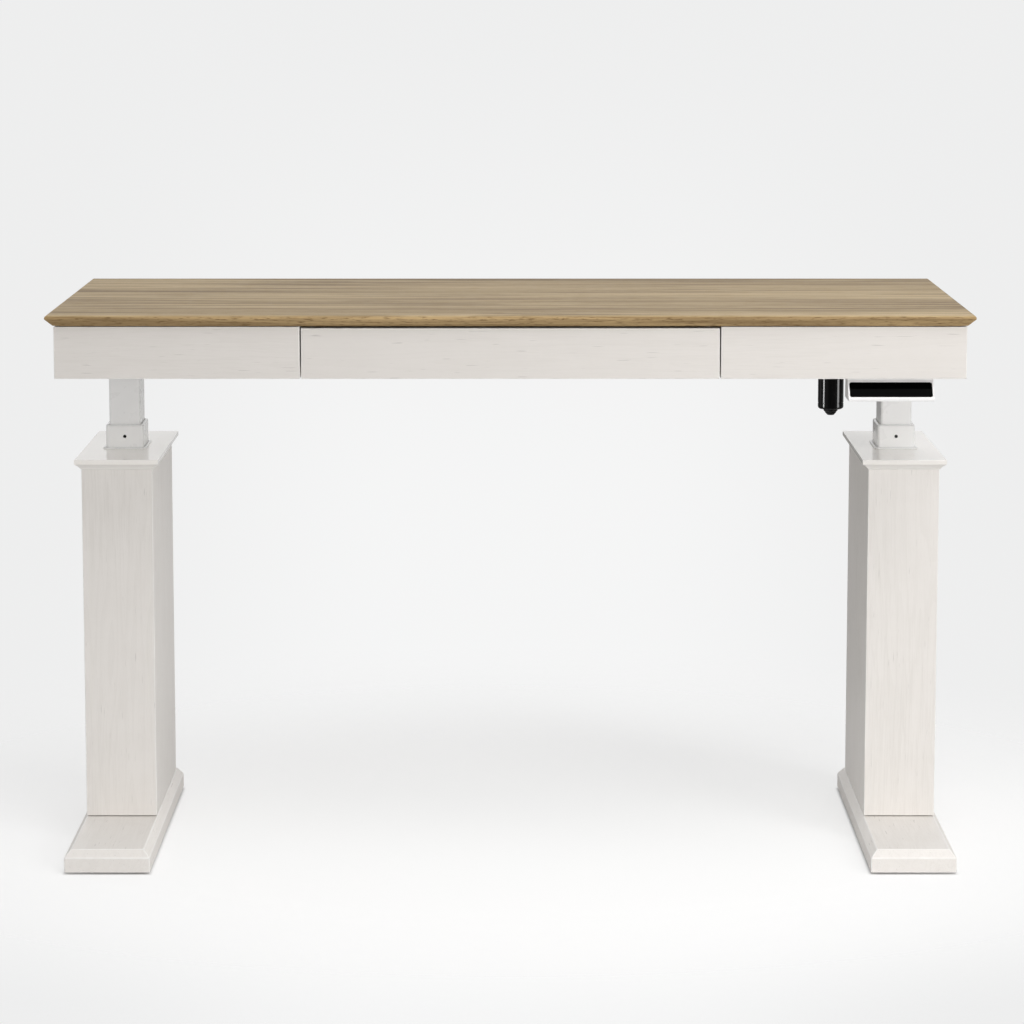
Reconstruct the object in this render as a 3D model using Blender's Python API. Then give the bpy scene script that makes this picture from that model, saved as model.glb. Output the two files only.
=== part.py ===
"""Height adjustable standing desk: two boxed pedestals, two lifting columns, one motor and one drawer.

Metres, +Z up. The origin is on the floor under the middle of the desk, and the front of the desk faces -Y.
The desk stands at rest with its top at DESK_HEIGHT, part of the way up its travel.
"""

import math

import bmesh
import bpy
from mathutils import Vector

# Overall sizes
DESK_WIDTH = 1.400
DESK_DEPTH = 0.600
DESK_HEIGHT = 0.867
LIFT_DOWN = 0.140
LIFT_UP = 0.340

# Clearances
GAP = 0.0003
SLIDE_CLEARANCE = 0.0006
END_CLEARANCE = 0.005

# Tabletop
TOP_THICKNESS = 0.018
TOP_NOSE_DROP = 0.0055
TOP_ROUND = 0.0035
TOP_BEVEL = 0.012

# Aprons
APRON_HEIGHT = 0.079
APRON_THICKNESS = 0.016

# Feet and their pads
FOOT_LENGTH = 0.5575
FOOT_HEIGHT = 0.035
FOOT_BEVEL = 0.010
FOOT_BEVEL_HEIGHT = 0.012
FOOT_FORWARD = 0.0913
PAD_RADIUS = 0.014
PAD_HEIGHT = 0.003
PAD_INSET = 0.045

# Pedestals and caps
PEDESTAL_WIDTH = 0.112
PEDESTAL_DEPTH = 0.315
PEDESTAL_BOARD = 0.012
PEDESTAL_TOP = 0.599
PEDESTAL_INSET = 0.079
COLUMN_Y = 0.090
CAP_OVERHANG = 0.0102
CAP_BAND = 0.007
CAP_BEVEL_HEIGHT = 0.009

# Lifting columns
INNER_TUBE = (0.050, 0.070)
TUBE_WALL = 0.002
SLEEVE_WALL = 0.0021
TUBE_CORNER = 0.004
OUTER_TUBE_REACH = 0.0367
TUBE_OVERLAP = 0.112
SLEEVE_DEPTH = 0.060
SLEEVE_LIP = 0.0018
TRIM_WIDTH = 0.0045
TRIM_HEIGHT = 0.002
SCREW_HOLE_RADIUS = 0.0028
SCREW_HOLE_HEIGHT = 0.0197
BASE_PLATE_MARGIN = 0.004
BASE_PLATE_THICKNESS = 0.005

# Lifting screws and drive
SPINDLE_RADIUS = 0.008
NUT_WALL = 0.0094
NUT_HEIGHT = 0.030
NUT_POST_CLEARANCE = 0.0025
NUT_POST_WALL = 0.0035
GEARBOX_HEIGHT = 0.039
GEARBOX_BORE_DEPTH = 0.010
ROD_RADIUS = 0.005
ROD_BORE_RADIUS = 0.0065
ROD_ABOVE_GEARBOX = 0.0195
ROD_END_WALL = 0.015
BEAM_WALL = 0.002
TOP_PLATE_WIDTH = 0.090
TOP_PLATE_THICKNESS = 0.003
TOP_PLATE_MARGIN = 0.022

# Motor, control box and handset
MOTOR_RADIUS = 0.0207
MOTOR_LENGTH = 0.128
MOTOR_CAP_CLEARANCE = 0.0155
MOTOR_FLANGE = 0.005
END_CAP_RIM = 0.0025
END_CAP_NUB = 0.0105
NUB_RADIUS = 0.0105
NUB_END_RADIUS = 0.0065
CONTROL_BOX = (0.260, 0.070, 0.036)
CONTROL_BOX_ASIDE = 0.371
INLET_SIZE = (0.028, 0.021)
INLET_DEPTH = 0.016
HANDSET_WIDTH = 0.130
HANDSET_FROM_END = 0.0484
HANDSET_SETBACK = 0.0027
HANDSET_DEPTH = 0.057
HANDSET_TILT = math.radians(47)
HANDSET_NOSE = 0.004
HANDSET_RIM_DROP = 0.003
HANDSET_FLANGE = 0.004
HANDSET_FLANGE_HEIGHT = 0.025
PANEL_WIDTH = 0.1245
PANEL_LENGTH = 0.0272
PANEL_THICKNESS = 0.0016
PANEL_RIM = 0.004

# Drawer
DRAWER_FRONT_WIDTH = 0.631
DRAWER_SIDE_GAP = 0.002
DRAWER_TOP_GAP = 0.0022
DRAWER_BACK_CLEARANCE = 0.032
DRAWER_HEADROOM = 0.017
DRAWER_BOX_LIFT = 0.006
DRAWER_WALL = 0.012
DRAWER_BOTTOM = 0.006
DRAWER_BOTTOM_LIFT = 0.006
RUNNER_SPACE = 0.0125
RUNNER_HEIGHT = 0.035
RUNNER_WALL = 0.0012
RUNNER_LAP = 0.0065

# Places worked out from the sizes above
FRONT = -DESK_DEPTH / 2
TOP_UNDERSIDE = DESK_HEIGHT - TOP_THICKNESS
APRON_HALF_WIDTH = DESK_WIDTH / 2 - TOP_BEVEL
APRON_FRONT = FRONT + TOP_BEVEL
APRON_BACK_FACE = APRON_FRONT + APRON_THICKNESS
APRON_TOP = TOP_UNDERSIDE - GAP
APRON_BOTTOM = APRON_TOP - APRON_HEIGHT
COLUMN_X = DESK_WIDTH / 2 - PEDESTAL_INSET
OUTER_TUBE_GROWTH = 2 * (SLIDE_CLEARANCE + SLEEVE_WALL + GAP + TUBE_WALL)
OUTER_TUBE = (INNER_TUBE[0] + OUTER_TUBE_GROWTH, INNER_TUBE[1] + OUTER_TUBE_GROWTH)
FOOT_WIDTH = PEDESTAL_WIDTH + 2 * FOOT_BEVEL
FOOT_TOP = PAD_HEIGHT + FOOT_HEIGHT
FOOT_MIDDLE_Y = COLUMN_Y - FOOT_FORWARD
CAP_BOTTOM = PEDESTAL_TOP + GAP
CAP_TOP = CAP_BOTTOM + CAP_BEVEL_HEIGHT + CAP_BAND
OUTER_TUBE_TOP = CAP_TOP + OUTER_TUBE_REACH
SLEEVE_TOP = OUTER_TUBE_TOP + GAP + SLEEVE_LIP
BASE_PLATE_TOP = FOOT_TOP + GAP + BASE_PLATE_THICKNESS
TOP_PLATE_BOTTOM = TOP_UNDERSIDE - GAP - TOP_PLATE_THICKNESS
GEARBOX_TOP = TOP_PLATE_BOTTOM - GAP
GEARBOX_BOTTOM = GEARBOX_TOP - GEARBOX_HEIGHT
INNER_TUBE_TOP = GEARBOX_BOTTOM - GAP
INNER_TUBE_BOTTOM = OUTER_TUBE_TOP - TUBE_OVERLAP - LIFT_UP
SPINDLE_TOP = GEARBOX_BOTTOM + GEARBOX_BORE_DEPTH - GAP
SPINDLE_BOTTOM = BASE_PLATE_TOP + END_CLEARANCE + LIFT_DOWN
NUT_BOTTOM = SPINDLE_BOTTOM + LIFT_UP + END_CLEARANCE
NUT_POST_TOP = NUT_BOTTOM - GAP
ROD_Z = GEARBOX_BOTTOM + ROD_ABOVE_GEARBOX
ROD_HALF_LENGTH = COLUMN_X - ROD_END_WALL
MOTOR_X = COLUMN_X - PEDESTAL_WIDTH / 2 - CAP_OVERHANG - MOTOR_CAP_CLEARANCE - MOTOR_RADIUS
GEARBOX_INNER_X = COLUMN_X - OUTER_TUBE[0] / 2
MOTOR_GEARBOX_INNER_X = MOTOR_X - MOTOR_RADIUS - MOTOR_FLANGE
DRAWER_HALF_OPENING = DRAWER_FRONT_WIDTH / 2 + DRAWER_SIDE_GAP
DRAWER_HALF_BOX = DRAWER_HALF_OPENING - RUNNER_SPACE
DRAWER_BOX_FRONT = APRON_BACK_FACE + GAP
BEAM_FRONT = COLUMN_Y - OUTER_TUBE[1] / 2
BEAM_BACK = COLUMN_Y + OUTER_TUBE[1] / 2
DRAWER_BOX_BACK = BEAM_FRONT - DRAWER_BACK_CLEARANCE
DRAWER_BOX_BOTTOM = APRON_BOTTOM + DRAWER_BOX_LIFT
DRAWER_BOX_TOP = APRON_TOP - DRAWER_HEADROOM
RUNNER_Z = (DRAWER_BOX_BOTTOM + DRAWER_BOX_TOP) / 2
RUNNER_DEPTH = (RUNNER_SPACE + RUNNER_LAP) / 2 - GAP
RUNNER_ENDS = (DRAWER_BOX_FRONT + END_CLEARANCE, DRAWER_BOX_BACK - END_CLEARANCE)

SIDES = {"left": -1, "right": 1}
ROUND_SIDES = 24


# ---------------------------------------------------------------- materials


def material(name, colour, roughness, metallic=0.0):
    """A Principled material of one colour."""
    made = bpy.data.materials.new(name)
    made.use_nodes = True
    shader = made.node_tree.nodes["Principled BSDF"]
    shader.inputs["Base Color"].default_value = (*colour, 1.0)
    shader.inputs["Roughness"].default_value = roughness
    shader.inputs["Metallic"].default_value = metallic
    made.diffuse_color = (*colour, 1.0)
    return made


FINISHES = {
    "oak": ((0.43, 0.31, 0.17), 0.45, 0.0),
    "white_wood": ((0.72, 0.69, 0.65), 0.5, 0.0),
    "white_metal": ((0.70, 0.70, 0.70), 0.35, 0.0),
    "white_plastic": ((0.75, 0.75, 0.74), 0.4, 0.0),
    "black_gloss": ((0.01, 0.01, 0.01), 0.15, 0.0),
    "black_metal": ((0.02, 0.02, 0.02), 0.2, 0.0),
    "black_plastic": ((0.03, 0.03, 0.03), 0.5, 0.0),
    "steel": ((0.55, 0.55, 0.56), 0.3, 1.0),
    "brass": ((0.65, 0.50, 0.22), 0.35, 1.0),
    "drawer_wood": ((0.70, 0.67, 0.62), 0.6, 0.0),
    "pad_plastic": ((0.06, 0.06, 0.06), 0.7, 0.0),
}


# ---------------------------------------------------------------- mesh helpers


def clear_scene():
    """Removes every object of the scene."""
    for item in list(bpy.data.objects):
        bpy.data.objects.remove(item, do_unlink=True)


def empty(name, place, parent=None):
    """An empty that carries the pieces of one moving group."""
    made = bpy.data.objects.new(name, None)
    made.empty_display_size = 0.05
    bpy.context.scene.collection.objects.link(made)
    settle(made, Vector(place), parent)
    return made


def settle(item, place, parent):
    """Puts an object at a place in the world, under its parent."""
    item.parent = parent
    origin = Vector((0, 0, 0))
    above = parent
    while above is not None:
        origin = origin + above.location
        above = above.parent
    item.location = Vector(place) - origin


def add(name, shape, place, parent, finish, smooth=False):
    """Makes an object from a bmesh whose points are measured from `place`."""
    bmesh.ops.recalc_face_normals(shape, faces=shape.faces)
    mesh = bpy.data.meshes.new(name)
    shape.to_mesh(mesh)
    shape.free()
    if smooth:
        mesh.shade_smooth()
        mesh.set_sharp_from_angle(angle=math.radians(30))
    colour, roughness, metallic = FINISHES[finish]
    mesh.materials.append(material(name, colour, roughness, metallic))
    item = bpy.data.objects.new(name, mesh)
    bpy.context.scene.collection.objects.link(item)
    settle(item, place, parent)
    return item


def loop(shape, points):
    """Adds a closed ring of points, without a face."""
    return [shape.verts.new(point) for point in points]


def skin(shape, first, second):
    """Joins two rings of the same count with a band of faces."""
    count = len(first)
    for i in range(count):
        j = (i + 1) % count
        shape.faces.new((first[i], first[j], second[j], second[i]))


def loft(rings, closed_ends=True):
    """A solid through a list of rings of points, capped at both ends or joined last to first."""
    shape = bmesh.new()
    loops = [loop(shape, ring) for ring in rings]
    for first, second in zip(loops, loops[1:]):
        skin(shape, first, second)
    if closed_ends:
        shape.faces.new(loops[0])
        shape.faces.new(loops[-1])
    else:
        skin(shape, loops[-1], loops[0])
    return shape


def rectangle(half_x, half_y, z):
    """The four corners of a flat rectangle."""
    return [(-half_x, -half_y, z), (half_x, -half_y, z), (half_x, half_y, z), (-half_x, half_y, z)]


def rounded_rectangle(half_x, half_y, radius, z, steps=3):
    """A rectangle with round corners."""
    points = []
    for turn, (sx, sy) in enumerate(((1, 1), (-1, 1), (-1, -1), (1, -1))):
        for step in range(steps + 1):
            angle = math.pi / 2 * (turn + step / steps)
            x = sx * (half_x - radius) + radius * math.cos(angle)
            y = sy * (half_y - radius) + radius * math.sin(angle)
            points.append((x, y, z))
    return points


def circle(radius, z, count=ROUND_SIDES):
    """A ring of points round +Z."""
    angles = [2 * math.pi * i / count for i in range(count)]
    return [(radius * math.cos(a), radius * math.sin(a), z) for a in angles]


def box(name, low, high, parent, finish):
    """A board or block between two corners."""
    low, high = Vector(low), Vector(high)
    half = (high - low) / 2
    shape = loft([rectangle(half.x, half.y, -half.z), rectangle(half.x, half.y, half.z)])
    return add(name, shape, (low + high) / 2, parent, finish)


def extrusion_x(name, outline, x_low, x_high, parent, finish):
    """A bar along X whose section is an outline of (y, z) points."""
    middle = (x_low + x_high) / 2
    half = (x_high - x_low) / 2
    rings = [[(side * half, y, z) for y, z in outline] for side in (-1, 1)]
    return add(name, loft(rings), (middle, 0, 0), parent, finish)


def extrusion_y(name, outline, y_low, y_high, parent, finish):
    """A bar along Y whose section is an outline of (x, z) points."""
    middle = (y_low + y_high) / 2
    half = (y_high - y_low) / 2
    rings = [[(x, side * half, z) for x, z in outline] for side in (-1, 1)]
    return add(name, loft(rings), (0, middle, 0), parent, finish)


def tube(name, outer, wall, corner, z_low, z_high, place, parent, finish):
    """A rectangular tube with round corners, open at both ends, standing at `place`."""
    half_x, half_y = outer[0] / 2, outer[1] / 2
    sizes = ((half_x, half_y, corner), (half_x - wall, half_y - wall, max(corner - wall, corner / 3)))
    rings = []
    for (x, y, radius), heights in zip(sizes, ((z_low, z_high), (z_high, z_low))):
        rings += [rounded_rectangle(x, y, radius, z) for z in heights]
    return add(name, loft(rings, closed_ends=False), place, parent, finish, smooth=True)


def pipe(name, outer_radius, inner_radius, z_low, z_high, place, parent, finish):
    """A round pipe, open at both ends, standing at `place`."""
    corners = ((outer_radius, z_low), (outer_radius, z_high), (inner_radius, z_high), (inner_radius, z_low))
    shape = loft([circle(radius, z) for radius, z in corners], closed_ends=False)
    return add(name, shape, place, parent, finish, smooth=True)


def turned(name, profile, place, parent, finish, count=ROUND_SIDES):
    """A solid turned round +Z from (radius, z) points, flat at both ends."""
    shape = loft([circle(radius, z, count) for radius, z in profile])
    return add(name, shape, place, parent, finish, smooth=True)


def cutter(name, radius, length, place, direction, count=ROUND_SIDES):
    """A hidden round cutter, with its middle at `place` and its axis along `direction`."""
    shape = loft([circle(radius, z, count) for z in (-length / 2, length / 2)])
    bmesh.ops.recalc_face_normals(shape, faces=shape.faces)
    mesh = bpy.data.meshes.new(name)
    shape.to_mesh(mesh)
    shape.free()
    item = bpy.data.objects.new(name, mesh)
    item.rotation_euler = Vector(direction).to_track_quat("Z", "Y").to_euler()
    item.location = place
    item.hide_render = True
    item.display_type = "WIRE"
    bpy.context.scene.collection.objects.link(item)
    return item


def cut(item, tool):
    """Takes a cutter's shape out of an object."""
    modifier = item.modifiers.new(tool.name, "BOOLEAN")
    modifier.operation = "DIFFERENCE"
    modifier.solver = "EXACT"
    modifier.object = tool


# ---------------------------------------------------------------- pedestals


def foot(side, x, parent):
    """A long foot, bevelled all round its upper edge, on two pads."""
    half_x, half_y = FOOT_WIDTH / 2, FOOT_LENGTH / 2
    rings = [
        rectangle(half_x, half_y, PAD_HEIGHT),
        rectangle(half_x, half_y, FOOT_TOP - FOOT_BEVEL_HEIGHT),
        rectangle(half_x - FOOT_BEVEL, half_y - FOOT_BEVEL, FOOT_TOP),
    ]
    add(f"{side}_foot", loft(rings), (x, FOOT_MIDDLE_Y, 0), parent, "white_wood")
    for end, way in (("front", -1), ("rear", 1)):
        place = (x, FOOT_MIDDLE_Y + way * (half_y - PAD_INSET), 0)
        profile = ((PAD_RADIUS, 0), (PAD_RADIUS, PAD_HEIGHT - GAP))
        turned(f"{side}_{end}_pad", profile, place, parent, "pad_plastic")


def pedestal(side, x, sign, parent):
    """Four boards round the column, the front and back ones covering the edges of the other two."""
    half_x, half_y = PEDESTAL_WIDTH / 2, PEDESTAL_DEPTH / 2
    bottom = FOOT_TOP + GAP
    for end, way in (("front", -1), ("back", 1)):
        faces = sorted((COLUMN_Y + way * half_y, COLUMN_Y + way * (half_y - PEDESTAL_BOARD)))
        low = (x - half_x, faces[0], bottom)
        high = (x + half_x, faces[1], PEDESTAL_TOP)
        box(f"{side}_{end}_board", low, high, parent, "white_wood")
    reach = half_y - PEDESTAL_BOARD - GAP
    for end, way in (("inner", -sign), ("outer", sign)):
        faces = sorted((x + way * half_x, x + way * (half_x - PEDESTAL_BOARD)))
        low = (faces[0], COLUMN_Y - reach, bottom)
        high = (faces[1], COLUMN_Y + reach, PEDESTAL_TOP)
        box(f"{side}_{end}_board", low, high, parent, "white_wood")


def cap(side, x, parent):
    """A moulded cap that overhangs the pedestal, with a hole for the column."""
    foot_x, foot_y = PEDESTAL_WIDTH / 2, PEDESTAL_DEPTH / 2
    edge_x, edge_y = foot_x + CAP_OVERHANG, foot_y + CAP_OVERHANG
    hole_x, hole_y = OUTER_TUBE[0] / 2 + GAP, OUTER_TUBE[1] / 2 + GAP
    rings = [
        rectangle(foot_x, foot_y, CAP_BOTTOM),
        rectangle(edge_x, edge_y, CAP_BOTTOM + CAP_BEVEL_HEIGHT),
        rectangle(edge_x, edge_y, CAP_TOP),
        rectangle(hole_x, hole_y, CAP_TOP),
        rectangle(hole_x, hole_y, CAP_BOTTOM),
    ]
    shape = loft(rings, closed_ends=False)
    add(f"{side}_cap", shape, (x, COLUMN_Y, 0), parent, "white_wood")


# ---------------------------------------------------------------- lifting columns


def fixed_column(side, x, parent):
    """What stands still inside a pedestal: base plate, outer tube, glide sleeve, trim ring, nut and post."""
    place = (x, COLUMN_Y, 0)
    plate_x = PEDESTAL_WIDTH / 2 - PEDESTAL_BOARD - BASE_PLATE_MARGIN
    plate_y = OUTER_TUBE[1]
    low = (x - plate_x, COLUMN_Y - plate_y, FOOT_TOP + GAP)
    high = (x + plate_x, COLUMN_Y + plate_y, BASE_PLATE_TOP)
    box(f"{side}_base_plate", low, high, parent, "steel")

    bottom = BASE_PLATE_TOP + GAP
    section = (OUTER_TUBE, TUBE_WALL, TUBE_CORNER)
    outer = tube(f"{side}_outer_tube", *section, bottom, OUTER_TUBE_TOP, place, parent, "white_metal")
    hole_place = (x, COLUMN_Y - OUTER_TUBE[1] / 2, CAP_TOP + SCREW_HOLE_HEIGHT)
    cut(outer, cutter(f"{side}_screw_hole", SCREW_HOLE_RADIUS, 3 * TUBE_WALL, hole_place, (0, 1, 0), 12))

    glide_sleeve(side, place, parent)
    section = ([size + 2 * (GAP + TRIM_WIDTH) for size in OUTER_TUBE], TRIM_WIDTH, TUBE_CORNER)
    trim_bottom = CAP_TOP + GAP
    trim_top = trim_bottom + TRIM_HEIGHT
    tube(f"{side}_trim_ring", *section, trim_bottom, trim_top, place, parent, "white_plastic")

    bore = SPINDLE_RADIUS + NUT_POST_CLEARANCE
    pipe(f"{side}_nut_post", bore + NUT_POST_WALL, bore, bottom, NUT_POST_TOP, place, parent, "steel")
    bore = SPINDLE_RADIUS + SLIDE_CLEARANCE
    nut_top = NUT_BOTTOM + NUT_HEIGHT
    pipe(f"{side}_spindle_nut", bore + NUT_WALL, bore, NUT_BOTTOM, nut_top, place, parent, "brass")


def glide_sleeve(side, place, parent):
    """A plastic sleeve between the tubes, with a lip that covers the outer tube's top edge."""
    lip_x, lip_y = OUTER_TUBE[0] / 2, OUTER_TUBE[1] / 2
    body_x, body_y = lip_x - TUBE_WALL - GAP, lip_y - TUBE_WALL - GAP
    bore_x, bore_y = INNER_TUBE[0] / 2 + SLIDE_CLEARANCE, INNER_TUBE[1] / 2 + SLIDE_CLEARANCE
    body_corner = TUBE_CORNER / 2
    lip_bottom = OUTER_TUBE_TOP + GAP
    body_bottom = OUTER_TUBE_TOP - SLEEVE_DEPTH
    rings = [
        rounded_rectangle(body_x, body_y, body_corner, body_bottom),
        rounded_rectangle(body_x, body_y, body_corner, lip_bottom),
        rounded_rectangle(lip_x, lip_y, TUBE_CORNER, lip_bottom),
        rounded_rectangle(lip_x, lip_y, TUBE_CORNER, SLEEVE_TOP),
        rounded_rectangle(bore_x, bore_y, TUBE_CORNER, SLEEVE_TOP),
        rounded_rectangle(bore_x, bore_y, TUBE_CORNER, body_bottom),
    ]
    add(f"{side}_glide_sleeve", loft(rings, closed_ends=False), place, parent, "white_plastic", smooth=True)


def rising_column(side, x, parent):
    """The inner tube and the steel plate that holds the column to the tabletop."""
    place = (x, COLUMN_Y, 0)
    section = (INNER_TUBE, TUBE_WALL, TUBE_CORNER)
    ends = (INNER_TUBE_BOTTOM, INNER_TUBE_TOP)
    tube(f"{side}_inner_tube", *section, *ends, place, parent, "white_metal")
    half_length = -APRON_BACK_FACE - TOP_PLATE_MARGIN
    low = (x - TOP_PLATE_WIDTH / 2, -half_length, TOP_PLATE_BOTTOM)
    high = (x + TOP_PLATE_WIDTH / 2, half_length, TOP_PLATE_BOTTOM + TOP_PLATE_THICKNESS)
    box(f"{side}_top_plate", low, high, parent, "black_metal")


def gearbox(side, x, sign, inner_x, parent):
    """A gearbox over a column, bored for the spindle from below and for the drive rod from its inner side."""
    faces = sorted((sign * inner_x, x + sign * OUTER_TUBE[0] / 2))
    low = (faces[0], BEAM_FRONT, GEARBOX_BOTTOM)
    high = (faces[1], BEAM_BACK, GEARBOX_TOP)
    block = box(f"{side}_gearbox", low, high, parent, "black_metal")
    bore = SPINDLE_RADIUS + SLIDE_CLEARANCE
    place = (x, COLUMN_Y, GEARBOX_BOTTOM)
    cut(block, cutter(f"{side}_spindle_bore", bore, 2 * GEARBOX_BORE_DEPTH, place, (0, 0, 1)))
    end = ROD_HALF_LENGTH + GAP
    start = inner_x - GEARBOX_BORE_DEPTH
    place = (sign * (start + end) / 2, COLUMN_Y, ROD_Z)
    cut(block, cutter(f"{side}_rod_bore", ROD_BORE_RADIUS, end - start, place, (1, 0, 0)))


def spindle(side, x, parent):
    """The lifting screw that hangs from the gearbox, with its origin on its axis."""
    chamfer = SPINDLE_RADIUS / 4
    profile = (
        (SPINDLE_RADIUS - chamfer, SPINDLE_BOTTOM),
        (SPINDLE_RADIUS, SPINDLE_BOTTOM + chamfer),
        (SPINDLE_RADIUS, SPINDLE_TOP),
    )
    turned(f"{side}_spindle", profile, (x, COLUMN_Y, 0), parent, "steel")


def drive_rod(parent):
    """The hexagonal rod between the two gearboxes, with its origin on its axis."""
    hexagon = circle(ROD_RADIUS, 0, 6)
    rings = [[(x, y, z) for y, z, _ in hexagon] for x in (-ROD_HALF_LENGTH, ROD_HALF_LENGTH)]
    add("drive_rod", loft(rings), (0, COLUMN_Y, ROD_Z), parent, "steel")


def crossbeam(parent):
    """A channel, open below, that joins the gearboxes and covers the drive rod."""
    outline = [
        (BEAM_FRONT, GEARBOX_BOTTOM),
        (BEAM_FRONT, GEARBOX_TOP),
        (BEAM_BACK, GEARBOX_TOP),
        (BEAM_BACK, GEARBOX_BOTTOM),
        (BEAM_BACK - BEAM_WALL, GEARBOX_BOTTOM),
        (BEAM_BACK - BEAM_WALL, GEARBOX_TOP - BEAM_WALL),
        (BEAM_FRONT + BEAM_WALL, GEARBOX_TOP - BEAM_WALL),
        (BEAM_FRONT + BEAM_WALL, GEARBOX_BOTTOM),
    ]
    ends = (-GEARBOX_INNER_X + GAP, MOTOR_GEARBOX_INNER_X - GAP)
    extrusion_x("crossbeam", outline, *ends, parent, "black_metal")


# ---------------------------------------------------------------- top


def tabletop(parent):
    """The board, with a small round above its nose and a long bevel below it."""
    half_x, half_y = DESK_WIDTH / 2, DESK_DEPTH / 2
    nose = DESK_HEIGHT - TOP_NOSE_DROP
    sections = [(TOP_BEVEL, TOP_UNDERSIDE), (0.0, nose - TOP_ROUND / 4), (0.0, nose + TOP_ROUND / 4)]
    steps = 3
    for step in range(1, steps + 1):
        angle = math.pi / 2 * step / steps
        inset = TOP_ROUND * (1 - math.cos(angle))
        rise = (TOP_NOSE_DROP - TOP_ROUND / 4) * math.sin(angle)
        sections.append((inset, nose + TOP_ROUND / 4 + rise))
    rings = [rectangle(half_x - inset, half_y - inset, z) for inset, z in sections]
    add("tabletop", loft(rings), (0, 0, 0), parent, "oak")


def aprons(parent):
    """The frame of boards under the edge of the top, with the drawer's opening in front."""
    for side, sign in SIDES.items():
        faces = sorted((sign * DRAWER_HALF_OPENING, sign * APRON_HALF_WIDTH))
        low = (faces[0], APRON_FRONT, APRON_BOTTOM)
        high = (faces[1], APRON_BACK_FACE, APRON_TOP)
        box(f"{side}_front_apron", low, high, parent, "white_wood")
        faces = sorted((sign * APRON_HALF_WIDTH, sign * (APRON_HALF_WIDTH - APRON_THICKNESS)))
        low = (faces[0], APRON_BACK_FACE + GAP, APRON_BOTTOM)
        high = (faces[1], -APRON_BACK_FACE - GAP, APRON_TOP)
        box(f"{side}_end_apron", low, high, parent, "white_wood")
    low = (-APRON_HALF_WIDTH, -APRON_BACK_FACE, APRON_BOTTOM)
    high = (APRON_HALF_WIDTH, -APRON_FRONT, APRON_TOP)
    box("back_apron", low, high, parent, "white_wood")


# ---------------------------------------------------------------- motor, control box, handset


def motor(parent):
    """The motor under the right gearbox: a round housing and a turned end cap."""
    top = GEARBOX_BOTTOM - GAP
    bottom = top - MOTOR_LENGTH
    place = (MOTOR_X, COLUMN_Y, 0)
    turned("motor_housing", ((MOTOR_RADIUS, bottom), (MOTOR_RADIUS, top)), place, parent, "black_gloss", 32)
    rim = bottom - GAP
    profile = (
        (NUB_END_RADIUS, rim - END_CAP_RIM - END_CAP_NUB),
        (NUB_RADIUS, rim - END_CAP_RIM - END_CAP_NUB / 2),
        (NUB_RADIUS, rim - END_CAP_RIM),
        (MOTOR_RADIUS - END_CAP_RIM, rim - END_CAP_RIM),
        (MOTOR_RADIUS, rim),
    )
    turned("motor_end_cap", profile, place, parent, "black_gloss", 32)


def pocket(item, outwards, along, half_sizes, depth):
    """Sinks a rectangular pocket into the face that looks along `outwards`."""
    outwards, along = Vector(outwards), Vector(along)
    across = outwards.cross(along)
    shape = bmesh.new()
    shape.from_mesh(item.data)
    shape.normal_update()
    face = max(shape.faces, key=lambda candidate: candidate.normal.dot(outwards))
    middle = face.calc_center_median()
    bmesh.ops.inset_individual(shape, faces=[face], thickness=GAP)
    for corner in face.verts:
        offset = corner.co - middle
        step = along * math.copysign(half_sizes[0], offset.dot(along))
        corner.co = middle + step + across * math.copysign(half_sizes[1], offset.dot(across))
    floor = bmesh.ops.extrude_discrete_faces(shape, faces=[face])["faces"][0]
    bmesh.ops.translate(shape, verts=floor.verts, vec=-outwards * depth)
    shape.to_mesh(item.data)
    shape.free()


def control_box(parent):
    """The control box between the crossbeam and the back apron, with a mains inlet in its left end."""
    x, y = COLUMN_X - CONTROL_BOX_ASIDE, (BEAM_BACK - APRON_BACK_FACE) / 2
    half_x, half_y = CONTROL_BOX[0] / 2, CONTROL_BOX[1] / 2
    top = TOP_UNDERSIDE - GAP
    low, high = (x - half_x, y - half_y, top - CONTROL_BOX[2]), (x + half_x, y + half_y, top)
    case = box("control_box", low, high, parent, "black_plastic")
    pocket(case, (-1, 0, 0), (0, 1, 0), (INLET_SIZE[0] / 2, INLET_SIZE[1] / 2), INLET_DEPTH)


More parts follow.
